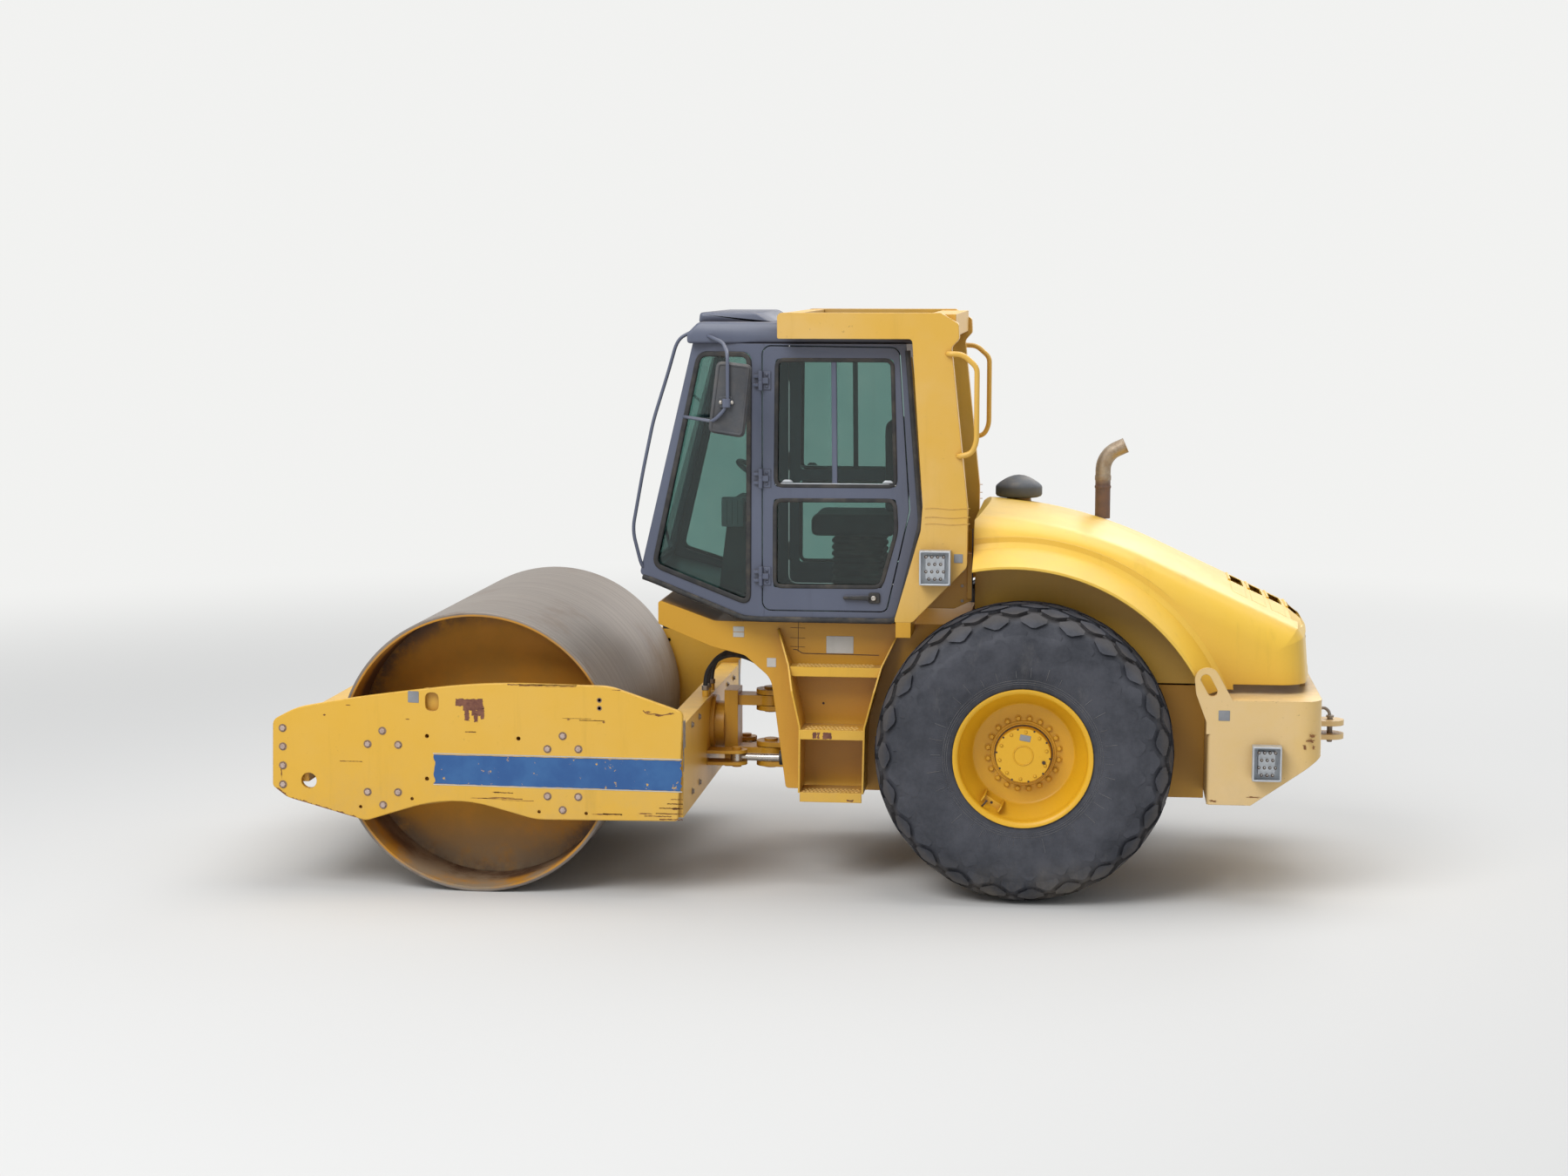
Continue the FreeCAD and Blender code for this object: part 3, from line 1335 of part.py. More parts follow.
def guard_tube(side):
    """Thin tube ahead of the front pillar, from the roof's edge to the cab's front rail."""
    y = -CAB_FRONT_HALF_WIDTH - 26
    points = [vec(x, y, CAB_BOTTOM + z) for x, z in GUARD_STATIONS]
    points = [vec(-680, y, CAB_TOP + 60)] + points + [vec(-930, y + 60, CAB_BOTTOM + 236)]
    tube = bar_through(points, ARM_R).cut(cab_envelope(0)).cut(cab_roof())
    return on_side(max(tube.Solids, key=lambda s: s.Volume), side)


def handrail(side):
    """Grab rail behind the roll-over column."""
    root = -ROPS_OUTER_Y + 30
    y = -ROPS_OUTER_Y - 30
    points = [
        vec(700, root, ROPS_TOP - 210),
        vec(709, y, ROPS_TOP - 208),
        vec(783, y, ROPS_TOP - 212),
        vec(857, y, ROPS_TOP - 666),
        vec(831, y, ROPS_TOP - 725),
        vec(768, y, ROPS_TOP - 739),
        vec(760, root, ROPS_TOP - 739),
    ]
    return on_side(bar_through(points, RAIL_R).cut(rops()), side)


def shell_box(x0, x1, face_y, z0, z1, side):
    """A sheet box on a face at face_y, open outwards, with a lamp's block inside."""
    t = 4
    deep = 70
    lamp_in = 30
    y0, y1 = side_pair(face_y, face_y + deep, side)
    outer = box(x0, x1, y0, y1, z0, z1)
    i0, i1 = side_pair(face_y + t, face_y + deep + 1, side)
    inner = box(x0 + t, x1 - t, i0, i1, z0 + t, z1 - t)
    l0, l1 = side_pair(face_y + t, face_y + deep - lamp_in, side)
    lamp = box(x0 + lamp_in, x1 - lamp_in, l0, l1, z0 + lamp_in, z1 - lamp_in)
    return outer.cut(inner).fuse(lamp)


def lamp_guards():
    """Open sheet boxes round the lamps, on the roll-over feet and on the tail."""
    foot_z = CROSSBEAM_Z[1]
    tail_x = TAIL_REAR_X - 357
    places = []
    for name, side in SIDES:
        places.append(shell_box(567, 728, ROPS_OUTER_Y, foot_z + 206, foot_z + 386, side))
        places.append(
            shell_box(tail_x, tail_x + 147, TAIL_HALF_WIDTH, TAIL_BOTTOM + 142, TAIL_BOTTOM + 322, side)
        )
    return Part.makeCompound(places)


# Hood

# The crest's line on the machine's middle, from the front: (x, z, corner radius)
CREST = (
    (800, 2035),
    (1386, 1998, 2430),
    (TAIL_REAR_X - 85, 1449),
    (TAIL_REAR_X - 41, 1379),
    (TAIL_REAR_X - 19, 1100),
)
HOOD_DEPTH = 2600
HOOD_REACH = 1500
CROWN_DROP = 60
CROWN_RISE = 39.2
CROWN_SHARE = 0.775
HOOD_BOTTOM = BAY_TOP + 10
HOOD_STEP_X = TAIL_FRONT_X + 136
HOOD_INNER_Y = WALL_Y + 5
# The centre of the wheel arch in the hood's side, and the arch's radius
ARCH = (1050, 650)
ARCH_R = 1178
GRILLE_HALF = HOOD_HALF_WIDTH - 280
GRILLE_Z = (1165, 1365)
GRILLE_X = (TAIL_REAR_X - 72, TAIL_REAR_X - 58)
FIRST_LOUVRE_X = 2204
LOUVRE_HALF = 420
STACK_PLACE = (1515, HOOD_HALF_WIDTH - 330)
STACK_BEND_Z = 2170
STACK_BEND_R = 130
BOWL_PLACE = (1049, HOOD_HALF_WIDTH - 380)
BOWL_Z = 2035


def hood_section(inset, depth):
    """Round shoulders and a slight crown, as a face across X with the crest's top at (0, 0)."""
    half = HOOD_HALF_WIDTH - inset
    shoulder = -CROWN_DROP - inset
    peak = CROWN_RISE - inset
    slope = math.atan2(peak - shoulder, half)
    crown_r = CROWN_SHARE * half / math.cos(slope) / math.tan(slope)
    radius = HOOD_SHOULDER_R - inset
    corners = [
        (-half, -depth),
        (half, -depth),
        (half, shoulder, radius),
        (0, peak, crown_r),
        (-half, shoulder, radius),
    ]
    face = flat_face(corners)
    face.rotate(vec(0, 0, 0), vec(1, 1, 1), 120)
    return face


def hood_run(inset, start, end, before, beyond, depth):
    """The section carried along one straight run of the crest, and some way before and beyond it."""
    run = vec(end[0] - start[0], 0, end[1] - start[1])
    fall = math.degrees(math.atan2(-run.z, run.x))
    face = hood_section(inset, depth)
    solid = face.extrude(vec(run.Length + before + beyond, 0, 0))
    solid.translate(vec(-before, 0, 0))
    solid.rotate(vec(0, 0, 0), Y_AXIS, fall)
    solid.translate(vec(start[0], 0, start[1]))
    return solid, fall


def hood_form(inset):
    """The hood's outer form, or the space inside it: the section carried along the crest."""
    front, bend, third = CREST[0], CREST[1], CREST[2]
    depth = front[1] - BAY_TOP + 40
    radius = bend[2]
    flat_run, fall = hood_run(inset, front, bend, 0, 0, depth)
    next_run, next_fall = hood_run(inset, bend, third, 0, HOOD_REACH, depth)
    turn = next_fall - fall
    reach = radius * math.tan(math.radians(turn / 2))
    length = math.hypot(bend[0] - front[0], bend[1] - front[1])
    flat_run, fall = hood_run(inset, front, bend, 0, -reach, depth)
    next_run, next_fall = hood_run(inset, bend, third, -reach, HOOD_REACH, depth)
    face = hood_section(inset, depth)
    face.translate(vec(length - reach, 0, 0))
    arc = face.revolve(vec(0, 0, -radius) + vec(length - reach, 0, 0), Y_AXIS, turn)
    arc.rotate(vec(0, 0, 0), Y_AXIS, fall)
    arc.translate(vec(front[0], 0, front[1]))
    whole = flat_run.fuse(arc).fuse(next_run)
    for start, end in zip(CREST[2:], CREST[3:]):
        whole = whole.common(hood_run(inset, start, end, HOOD_REACH, HOOD_REACH, HOOD_DEPTH)[0])
    x, back = HOOD_FRONT_X + inset, TAIL_REAR_X + 50
    low = HOOD_BOTTOM - 30 if inset else HOOD_BOTTOM
    rear_low = low + 1 if inset else HOOD_REAR_FOOT[1]
    side_view = [
        (x, low),
        (x, 1970 - inset / 2),
        (x + 88, 2050 - inset / 2),
        (x + 88, 2150),
        (back, 2150),
        (back, rear_low),
        (HOOD_STEP_X, rear_low),
        (HOOD_STEP_X, low),
    ]
    return whole.common(plate_xz(side_view, -HOOD_HALF_WIDTH - 1, HOOD_HALF_WIDTH + 1))


def fender_flare(side):
    """The arch's sheet with the soft flare outside the hood's wall, turned about the arch's centre."""
    t = HOOD_SKIN
    wall = HOOD_HALF_WIDTH
    profile = [
        (ARCH_R, HOOD_INNER_Y - t),
        (ARCH_R, wall - t),
        (ARCH_R + 62, wall - t),
        (ARCH_R + 62, wall),
        (FLARE_TOP_R + 20, wall),
        (FLARE_TOP_R - 8, wall + 18),
        (FLARE_LIP_R, FENDER_HALF_WIDTH),
        (FLARE_LIP_R - t + 2, FENDER_HALF_WIDTH),
        (ARCH_R - t + 2, wall + 9),
        (ARCH_R - t + 2, HOOD_INNER_Y - t),
    ]
    face = flat_face(profile)
    face.rotate(vec(0, 0, 0), Y_AXIS, -106)
    flare = face.revolve(vec(0, 0, 0), Y_AXIS, 88)
    flare.translate(vec(ARCH[0], 0, ARCH[1]))
    reach = FENDER_HALF_WIDTH + 1
    flare = flare.common(box(HOOD_FRONT_X, TAIL_REAR_X, -1, reach, HOOD_BOTTOM, 2200))
    return mirrored(flare) if side == LEFT else flare


def hood_shell():
    """Sheet hood with rounded shoulders, flares over the tyres, louvre slots and a grille opening."""
    t = HOOD_SKIN
    shell = hood_form(0).cut(hood_form(t))
    pieces = []
    room = box(HOOD_FRONT_X, TAIL_REAR_X, -HOOD_HALF_WIDTH, HOOD_HALF_WIDTH, HOOD_BOTTOM, 2200)
    for name, side in SIDES:
        y0, y1 = side_pair(HOOD_INNER_Y, HOOD_HALF_WIDTH + 5, side)
        shell = shell.cut(rod_along_y(*ARCH, ARCH_R, y0, y1))
        y0, y1 = side_pair(HOOD_INNER_Y - t, HOOD_INNER_Y, side)
        pieces.append(rod_along_y(*ARCH, ARCH_R - t / 2, y0, y1).common(room))
        pieces.append(fender_flare(side))
        pieces.append(hood_knuckle(side))
    for i in range(LOUVRE_COUNT):
        x = FIRST_LOUVRE_X + i * LOUVRE_PITCH
        shell = shell.cut(box(x, x + LOUVRE_LENGTH, -LOUVRE_HALF, LOUVRE_HALF, 1400, 1800))
    x = GRILLE_X[0] - 20
    shell = shell.cut(box(x, TAIL_REAR_X, -GRILLE_HALF, GRILLE_HALF, *GRILLE_Z))
    return fused([shell] + pieces)


def hood_grille():
    """Slatted grille in the hood's tail."""
    slats = []
    slat = 12
    for i in range(GRILLE_SLATS):
        z = GRILLE_Z[0] + 8 + i * GRILLE_PITCH
        slats.append(box(*GRILLE_X, -GRILLE_HALF, GRILLE_HALF, z, z + slat))
    return Part.makeCompound(slats)


def pipe_bend(radius, centre, low):
    """An upright pipe from a level, with a quarter bend towards the rear at its top."""
    x, y, z = centre
    upright = rod_along_z(x - STACK_BEND_R, y, radius, low, z)
    ring = Part.Circle(vec(x - STACK_BEND_R, y, z), Z_AXIS, radius)
    bend = Part.Face(Part.Wire(ring.toShape())).revolve(vec(x, y, z), Y_AXIS, 90)
    return upright.fuse(bend)


def exhaust_stack():
    """Exhaust pipe with a collar and a bend to the rear, open at its end."""
    x, y = STACK_PLACE
    centre = (x + STACK_BEND_R, y, STACK_BEND_Z)
    collar = rod_along_z(x, y, STACK_R + 8, STACK_BEND_Z - 133, STACK_BEND_Z - 83)
    pipe = fused([pipe_bend(STACK_R, centre, STACK_BEND_Z - 320), collar]).cut(hood_form(0))
    return pipe.cut(pipe_bend(STACK_R - STACK_WALL, centre, STACK_BEND_Z - 60))


def precleaner():
    """Air intake bowl with its neck and a low cone on top."""
    x, y = BOWL_PLACE
    neck = rod_along_z(x, y, 63, BOWL_Z - 90, BOWL_Z)
    bowl = rod_along_z(x, y, BOWL_R, BOWL_Z, BOWL_Z + 50)
    cap = Part.makeCone(BOWL_R, 12, 61, vec(x, y, BOWL_Z + 50), Z_AXIS)
    return fused([neck, bowl, cap]).cut(hood_form(0))


def build():
    for name, side in SIDES:
        save("side_plate_" + name, side_plate(side))
        save("tyre_" + name, tyre(side))
        save("rim_" + name, rim(side))
        save("door_" + name, door(side), True)
        save("door_glass_" + name, door_glass(side), True)
        save("cylinder_barrel_" + name, cylinder_barrel(side))
        save("cylinder_rod_" + name, cylinder_rod(side))
    save("carriers", Part.makeCompound([carrier(side) for name, side in SIDES]))
    save("buffers", buffers())
    save("front_beam", hollow_beam(FRONT_BEAM_X, FRONT_BEAM_Z))
    save("rear_beam", rear_beam())
    save("pivot_yoke", pivot_yoke())
    save("scrapers", scrapers())
    save("drum_shell", drum_shell())
    save("drum_discs", Part.makeCompound([drum_disc(side) for name, side in SIDES]))
    save("chassis", chassis(), True)
    save("pivot_ears", pivot_ears())
    save("rear_axle", rear_axle())
    save("tanks", tanks(), True)
    save("steps", Part.makeCompound([steps(side) for name, side in SIDES]), True)
    save("tail_weight", tail_weight(), True)
    save("tow_hitch", tow_hitch(), True)
    save("engine_block", engine_block(), True)
    save("cab_mounts", cab_mounts(), True)
    save("cab_shell", cab_shell(), True)
    save("cab_roof", cab_roof(), True)
    depth_out, depth_in = -GLASS_DEPTH, GLASS_DEPTH + GLASS_THICK
    panes = [windscreen_prism(-SEAL_GAP, depth_out, depth_in)]
    panes.append(rear_glass_prism(-SEAL_GAP, depth_out, depth_in))
    for name, side in SIDES:
        panes.append(quarter_prism(side, -SEAL_GAP, depth_out, depth_in))
    save("cab_glass", Part.makeCompound(panes), True)
    save("seat", seat(), True)
    save("steering_console", steering_console(), True)
    save("rops", rops(), True)
    mirrors = [mirror(side) for name, side in SIDES]
    save("mirrors", Part.makeCompound(mirrors), True)
    rails = [handrail(side) for name, side in SIDES]
    rails += [guard_tube(side) for name, side in SIDES]
    save("handrails", Part.makeCompound(rails), True)
    save("lamp_guards", lamp_guards(), True)
    save("hood_shell", hood_shell(), True)
    save("hood_grille", hood_grille(), True)
    save("exhaust_stack", exhaust_stack(), True)
    save("precleaner", precleaner(), True)
    for number, route in enumerate(HOSE_ROUTES, 1):
        save("hose_" + str(number), hose(route))


build()
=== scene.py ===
import bmesh
import bpy
import math
import random
from mathutils import Matrix, Vector
from mathutils.geometry import tessellate_polygon


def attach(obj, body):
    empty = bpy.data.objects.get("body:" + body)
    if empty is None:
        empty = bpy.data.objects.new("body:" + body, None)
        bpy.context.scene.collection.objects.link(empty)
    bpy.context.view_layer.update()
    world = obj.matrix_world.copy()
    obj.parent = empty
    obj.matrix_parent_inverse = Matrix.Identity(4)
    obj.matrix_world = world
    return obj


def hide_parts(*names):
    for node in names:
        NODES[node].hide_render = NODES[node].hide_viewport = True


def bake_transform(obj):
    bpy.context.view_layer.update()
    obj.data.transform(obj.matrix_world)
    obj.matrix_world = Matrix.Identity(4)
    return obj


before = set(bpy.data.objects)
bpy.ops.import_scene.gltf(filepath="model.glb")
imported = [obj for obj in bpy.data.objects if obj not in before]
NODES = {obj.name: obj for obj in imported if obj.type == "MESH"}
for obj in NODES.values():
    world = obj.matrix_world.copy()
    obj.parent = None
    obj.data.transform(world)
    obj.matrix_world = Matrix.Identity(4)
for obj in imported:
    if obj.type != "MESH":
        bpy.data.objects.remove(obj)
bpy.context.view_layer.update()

# Camera at the photograph's angle
camera_data = bpy.data.cameras.new("camera")
camera_data.lens = 59.08
camera_data.sensor_width = 36.0
camera_data.clip_end = 400.0
camera = bpy.data.objects.new("camera", camera_data)
camera.location = (1.446, -14.139, 3.274)
camera.rotation_euler = (math.radians(90 - 7.024), 0.0, math.radians(6.809))
bpy.context.scene.collection.objects.link(camera)
bpy.context.scene.camera = camera

# Places that the CAD's source also names, in metres
DRUM_AXIS = Vector((-1.75, 0.0, 0.75))
WHEEL_AXIS = Vector((1.12, 0.0, 0.78))
WHEEL_Y = 0.79
PLATE_OUT_Y = 1.13
ROPS_OUT_Y = 0.77
TAIL_HALF_Y = 0.88
SIDES = (("left", -1), ("right", 1))


# Materials

class Tree:
    """The node tree of a material or of the world, built through small helpers."""

    def __init__(self, owner):
        owner.use_nodes = True
        self.tree = owner.node_tree
        self.tree.nodes.clear()

    def feed(self, node, inputs):
        """Sets a node's inputs, by name or number, to values or to what they are linked with."""
        for key, value in inputs.items():
            socket = node.inputs[key]
            if hasattr(value, "is_output"):
                self.tree.links.new(value, socket)
            elif isinstance(value, (tuple, list)) and socket.type == "RGBA":
                socket.default_value = (*value[:3], 1.0)
            else:
                socket.default_value = value

    def node(self, kind, inputs=None, **settings):
        made = self.tree.nodes.new(kind)
        for key, value in settings.items():
            setattr(made, key, value)
        self.feed(made, inputs or {})
        return made

    def calc(self, kind, a, b=0.0, clamp=False):
        return self.node("ShaderNodeMath", {0: a, 1: b}, operation=kind, use_clamp=clamp).outputs[0]

    def times(self, a, b, clamp=False):
        return self.calc("MULTIPLY", a, b, clamp)

    def plus(self, a, b):
        return self.calc("ADD", a, b)

    def seen(self):
        """1 where the camera looks, straight, in a mirror or through glass."""
        rays = self.node("ShaderNodeLightPath").outputs
        turned_rays = self.calc("MAXIMUM", rays["Is Glossy Ray"], rays["Is Transmission Ray"])
        return self.calc("MAXIMUM", rays["Is Camera Ray"], turned_rays)


class Shade(Tree):
    """A material with one Principled shader."""

    def __init__(self, name):
        self.material = bpy.data.materials.new(name)
        super().__init__(self.material)
        self.shader = self.node("ShaderNodeBsdfPrincipled")
        self.node("ShaderNodeOutputMaterial", {"Surface": self.shader.outputs["BSDF"]})
        self.place = self.node("ShaderNodeTexCoord").outputs["Object"]
        self.normal = self.node("ShaderNodeNewGeometry").outputs["Normal"]

    def set(self, **inputs):
        self.feed(self.shader, {key.replace("_", " "): value for key, value in inputs.items()})

    def scaled(self, scale, source=None):
        inputs = {"Vector": source or self.place, "Scale": scale}
        return self.node("ShaderNodeMapping", inputs).outputs["Vector"]

    def noise(self, scale, detail=4.0, rough=0.55, source=None):
        inputs = {"Vector": source or self.place, "Scale": scale, "Detail": detail, "Roughness": rough}
        return self.node("ShaderNodeTexNoise", inputs).outputs["Fac"]

    def wave(self, direction, scale, source=None):
        inputs = {"Vector": source or self.place, "Scale": scale}
        return self.node("ShaderNodeTexWave", inputs, bands_direction=direction).outputs["Fac"]

    def span(self, value, low, high, to_low=0.0, to_high=1.0):
        inputs = {"Value": value, "From Min": low, "From Max": high, "To Min": to_low, "To Max": to_high}
        return self.node("ShaderNodeMapRange", inputs, interpolation_type="SMOOTHSTEP").outputs["Result"]

    def mix(self, share, a, b):
        return self.node("ShaderNodeMix", {0: share, 6: a, 7: b}, data_type="RGBA").outputs[2]

    def blend(self, share, a, b):
        return self.node("ShaderNodeMix", {0: share, 2: a, 3: b}, data_type="FLOAT").outputs[0]

    def vector(self, kind, a, b=(0.0, 0.0, 0.0)):
        return self.node("ShaderNodeVectorMath", {0: a, 1: b}, operation=kind).outputs

    def axis(self, letter, source=None):
        return self.node("ShaderNodeSeparateXYZ", {0: source or self.place}).outputs[letter]

    def facing_up(self, low, high):
        return self.span(self.axis("Z", self.normal), low, high)

    def soft_edges(self, radius):
        """A normal that rounds the hard edges, and how far the surface is from an edge: 1 on one."""
        rounded_normal = self.node("ShaderNodeBevel", {"Radius": radius}, samples=4).outputs["Normal"]
        dot = self.vector("DOT_PRODUCT", rounded_normal, self.normal)["Value"]
        return rounded_normal, self.span(dot, 0.995, 0.85)

    def recess(self, distance):
        """How deep a place lies in a corner or a hollow: 0 in the open, 1 well inside."""
        made = self.node("ShaderNodeAmbientOcclusion", {"Distance": distance}, samples=6)
        return self.span(made.outputs["AO"], 0.85, 0.25)

    def bump(self, height, strength, distance, normal=None):
        inputs = {"Strength": strength, "Distance": distance, "Height": height}
        if normal is not None:
            inputs["Normal"] = normal
        return self.node("ShaderNodeBump", inputs).outputs["Normal"]

    def around(self, axis_point, radius):
        """Coordinates unrolled about an axis along Y: (arc length, Y, distance from the axis)."""
        offset = self.vector("SUBTRACT", self.place, axis_point)[0]
        x, z = self.axis("X", offset), self.axis("Z", offset)
        angle = self.calc("ARCTAN2", z, x)
        distance = self.calc("SQRT", self.plus(self.times(x, x), self.times(z, z)))
        unrolled = {0: self.times(angle, radius), 1: self.axis("Y"), 2: distance}
        return self.node("ShaderNodeCombineXYZ", unrolled).outputs[0], distance


RUST = (0.13, 0.045, 0.018)
DUST = (0.42, 0.33, 0.22)


def painted(name, base, faded, rust=RUST, dust=0.5, wear=0.5, gloss=0.42, fade=0.5, seed=0.0):
    """Sun faded paint with dust, run marks, chips with rust, bare edges, and painted shade in corners and hollows.
    """
    s = Shade(name)
    place = s.vector("ADD", s.place, (seed, seed * 2, seed * 3))[0]
    normal, edge = s.soft_edges(0.006)
    patches = s.noise(1.1, 5.0, 0.6, place)
    colour = s.mix(s.span(patches, 0.35, 0.72, 0.0, fade), base, faded)
    dark = tuple(c * 0.72 for c in base)
    runs = s.noise(9.0, 6.0, 0.65, s.scaled((1.0, 1.0, 0.09), place))
    colour = s.mix(s.span(runs, 0.55, 0.8, 0.0, 0.45), colour, dark)
    dark_tone = s.noise(26.0, 6.0, 0.7, place)
    colour = s.mix(s.span(dark_tone, 0.6, 0.78, 0.0, 0.3), colour, dark)
    # Painted shade: the colour turns darker where a place lies in a corner or a hollow.
    deep = tuple(c * share for c, share in zip(base, (0.52, 0.42, 0.35)))
    colour = s.mix(s.times(s.recess(0.35), 0.75), colour, deep)
    height = s.span(s.axis("Z"), 0.95, 0.25, 0.0, 1.0)
    lying = s.facing_up(0.55, 0.98)
    veil = s.plus(s.times(height, 0.45), s.times(lying, 0.75))
    veil = s.times(veil, s.span(s.noise(5.0, 8.0, 0.7, place), 0.3, 0.75))
    veil = s.times(veil, dust, clamp=True)
    colour = s.mix(veil, colour, DUST)
    spots = s.noise(38.0, 5.0, 0.62, place)
    where = s.span(s.noise(2.3, 3.0, 0.5, place), 0.5, 0.72)
    chips = s.times(s.span(spots, 0.66, 0.7), s.times(where, wear))
    bare = s.times(edge, s.span(s.noise(21.0, 6.0, 0.7, place), 0.5, 0.6))
    chips = s.calc("MAXIMUM", chips, s.times(bare, wear), clamp=True)
    colour = s.mix(chips, colour, rust)
    rough = s.span(patches, 0.2, 0.8, gloss - 0.06, gloss + 0.1)
    rough = s.blend(s.calc("MAXIMUM", veil, chips, clamp=True), rough, 0.85)
    grain = s.noise(55.0, 2.0, 0.5, place)
    peel = s.plus(s.times(grain, 0.12), s.times(chips, -0.6))
    s.set(Base_Color=colour, Roughness=rough, Normal=s.bump(peel, 0.35, 0.0015, normal))
    s.set(Coat_Weight=0.15, Coat_Roughness=0.25)
    return s.material


def plain(name, base, other, rough=0.6, metal=0.0, grain=60.0, depth=0.0006, edge_light=0.0, dust=0.25):
    """A moulded, cast or rolled surface with slight variation, dust and soft edges."""
    s = Shade(name)
    normal, edge = s.soft_edges(0.004)
    colour = s.mix(s.span(s.noise(4.0, 6.0, 0.65), 0.35, 0.7), base, other)
    lying = s.plus(s.times(s.facing_up(0.5, 0.95), 0.7), 0.3)
    veil = s.times(lying, s.span(s.noise(9.0, 7.0, 0.7), 0.4, 0.75, 0.0, dust))
    colour = s.mix(veil, colour, DUST)
    if edge_light:
        light = tuple(min(1.0, c * 2.2 + 0.05) for c in base)
        rubbed = s.times(edge, s.span(s.noise(17.0, 4.0), 0.4, 0.65, 0.0, edge_light))
        colour = s.mix(rubbed, colour, light)
    s.set(Base_Color=colour, Metallic=metal)
    s.set(Roughness=s.span(s.noise(13.0, 5.0), 0.3, 0.7, rough - 0.08, rough + 0.1))
    s.set(Normal=s.bump(s.noise(grain, 4.0, 0.6), 0.5, depth, normal))
    return s.material


YELLOW = (0.80, 0.455, 0.038)
PALE = (0.80, 0.50, 0.11)
PEACH = (0.78, 0.53, 0.22)
M = {}
M["body"] = painted("body_paint", YELLOW, PALE, wear=0.6)
M["hood"] = painted("hood_paint", (0.90, 0.56, 0.055), (0.90, 0.60, 0.12),
                    wear=0.12, dust=0.3, gloss=0.36, seed=3.0)
M["rops"] = painted("rops_paint", (0.76, 0.44, 0.06), PEACH, wear=0.35, dust=0.35, fade=0.6, seed=5.0)
M["tail"] = painted("tail_paint", (0.82, 0.54, 0.17), (0.82, 0.59, 0.30),
                    wear=0.55, dust=0.6, fade=0.9, seed=7.0)
M["frame"] = painted("frame_paint", (0.72, 0.37, 0.020), (0.70, 0.38, 0.04), dust=0.15, seed=9.0)
M["rim"] = painted("rim_paint", (0.84, 0.46, 0.012), (0.80, 0.44, 0.02), wear=0.2, dust=0.06, seed=11.0)
M["slate"] = painted("slate_paint", (0.092, 0.106, 0.158), (0.128, 0.147, 0.208), rust=(0.2, 0.2, 0.22),
                     wear=0.35, dust=0.35, gloss=0.4, seed=13.0)
M["dark"] = plain("dark_steel", (0.035, 0.036, 0.04), (0.06, 0.055, 0.05), 0.55, 0.3, edge_light=0.3)
M["rubber"] = plain("black_rubber", (0.022, 0.023, 0.025), (0.04, 0.04, 0.042), 0.75, dust=0.35)
M["plastic"] = plain("grey_plastic", (0.045, 0.048, 0.056), (0.07, 0.075, 0.085), 0.5, dust=0.3)
M["cap"] = plain("cap_grey", (0.09, 0.10, 0.115), (0.13, 0.14, 0.155), 0.6, dust=0.4)
M["zinc"] = plain("zinc_plate", (0.50, 0.53, 0.57), (0.62, 0.65, 0.68), 0.42, 0.55, grain=90.0)
M["bright"] = plain("bright_steel", (0.62, 0.60, 0.57), (0.5, 0.46, 0.41), 0.28, 0.9, dust=0.3)
M["bolt"] = plain("bolt_steel", (0.34, 0.31, 0.28), (0.22, 0.16, 0.12), 0.5, 0.6)
# White of the blank labels and the band's edges, and the painted highlights in the lamp guards' holes.
M["white"] = plain("white_labels_and_painted_glint", (0.66, 0.66, 0.64), (0.55, 0.55, 0.52), 0.5, dust=0.2)
M["grey_label"] = plain("grey_label", (0.30, 0.31, 0.33), (0.22, 0.23, 0.25), 0.5, dust=0.2)


def drum_material():
    """Rolled steel, worn in rings round the drum, with the inside painted and dusty, and darker deeper in from the
    ends by painted shade.
    """
    s = Shade("drum_steel")
    normal = s.soft_edges(0.006)[0]
    rolled, distance = s.around(DRUM_AXIS, 0.75)
    rings = s.noise(3.0, 8.0, 0.7, s.scaled((0.35, 14.0, 1.0), rolled))
    steel = s.mix(s.span(rings, 0.3, 0.7), (0.19, 0.158, 0.135), (0.31, 0.270, 0.235))
    blotch = s.noise(2.2, 7.0, 0.65, rolled)
    steel = s.mix(s.span(blotch, 0.5, 0.72, 0.0, 0.7), steel, (0.17, 0.115, 0.08))
    mud = s.noise(6.0, 8.0, 0.75, s.scaled((1.0, 1.6, 1.0), rolled))
    steel = s.mix(s.span(mud, 0.55, 0.75, 0.0, 0.55), steel, (0.33, 0.275, 0.215))
    inside = s.span(distance, 0.738, 0.733)
    deep = s.noise(3.0, 7.0, 0.7)
    paint = s.mix(s.span(deep, 0.4, 0.7), (0.56, 0.25, 0.02), (0.44, 0.24, 0.07))
    # Painted shade: the inside paint turns dark deeper into the drum, away from its open ends.
    inwards = s.calc("ABSOLUTE", s.axis("Y"))
    hollow_shade = s.plus(inwards, s.times(s.noise(3.5, 6.0, 0.7), 0.16))
    paint = s.mix(s.span(hollow_shade, 1.03, 0.90), paint, (0.125, 0.060, 0.028))
    low = s.times(s.span(s.axis("Z"), 0.45, 0.05), s.span(deep, 0.35, 0.6))
    paint = s.mix(low, paint, (0.34, 0.25, 0.16))
    s.set(Base_Color=s.mix(inside, steel, paint))
    s.set(Metallic=s.blend(inside, 0.35, 0.0))
    s.set(Roughness=s.blend(inside, s.span(rings, 0.2, 0.8, 0.42, 0.6), 0.75))
    relief = s.plus(s.times(rings, 0.6), s.times(mud, 0.4))
    s.set(Normal=s.bump(relief, 0.25, 0.002, normal))
    return s.material


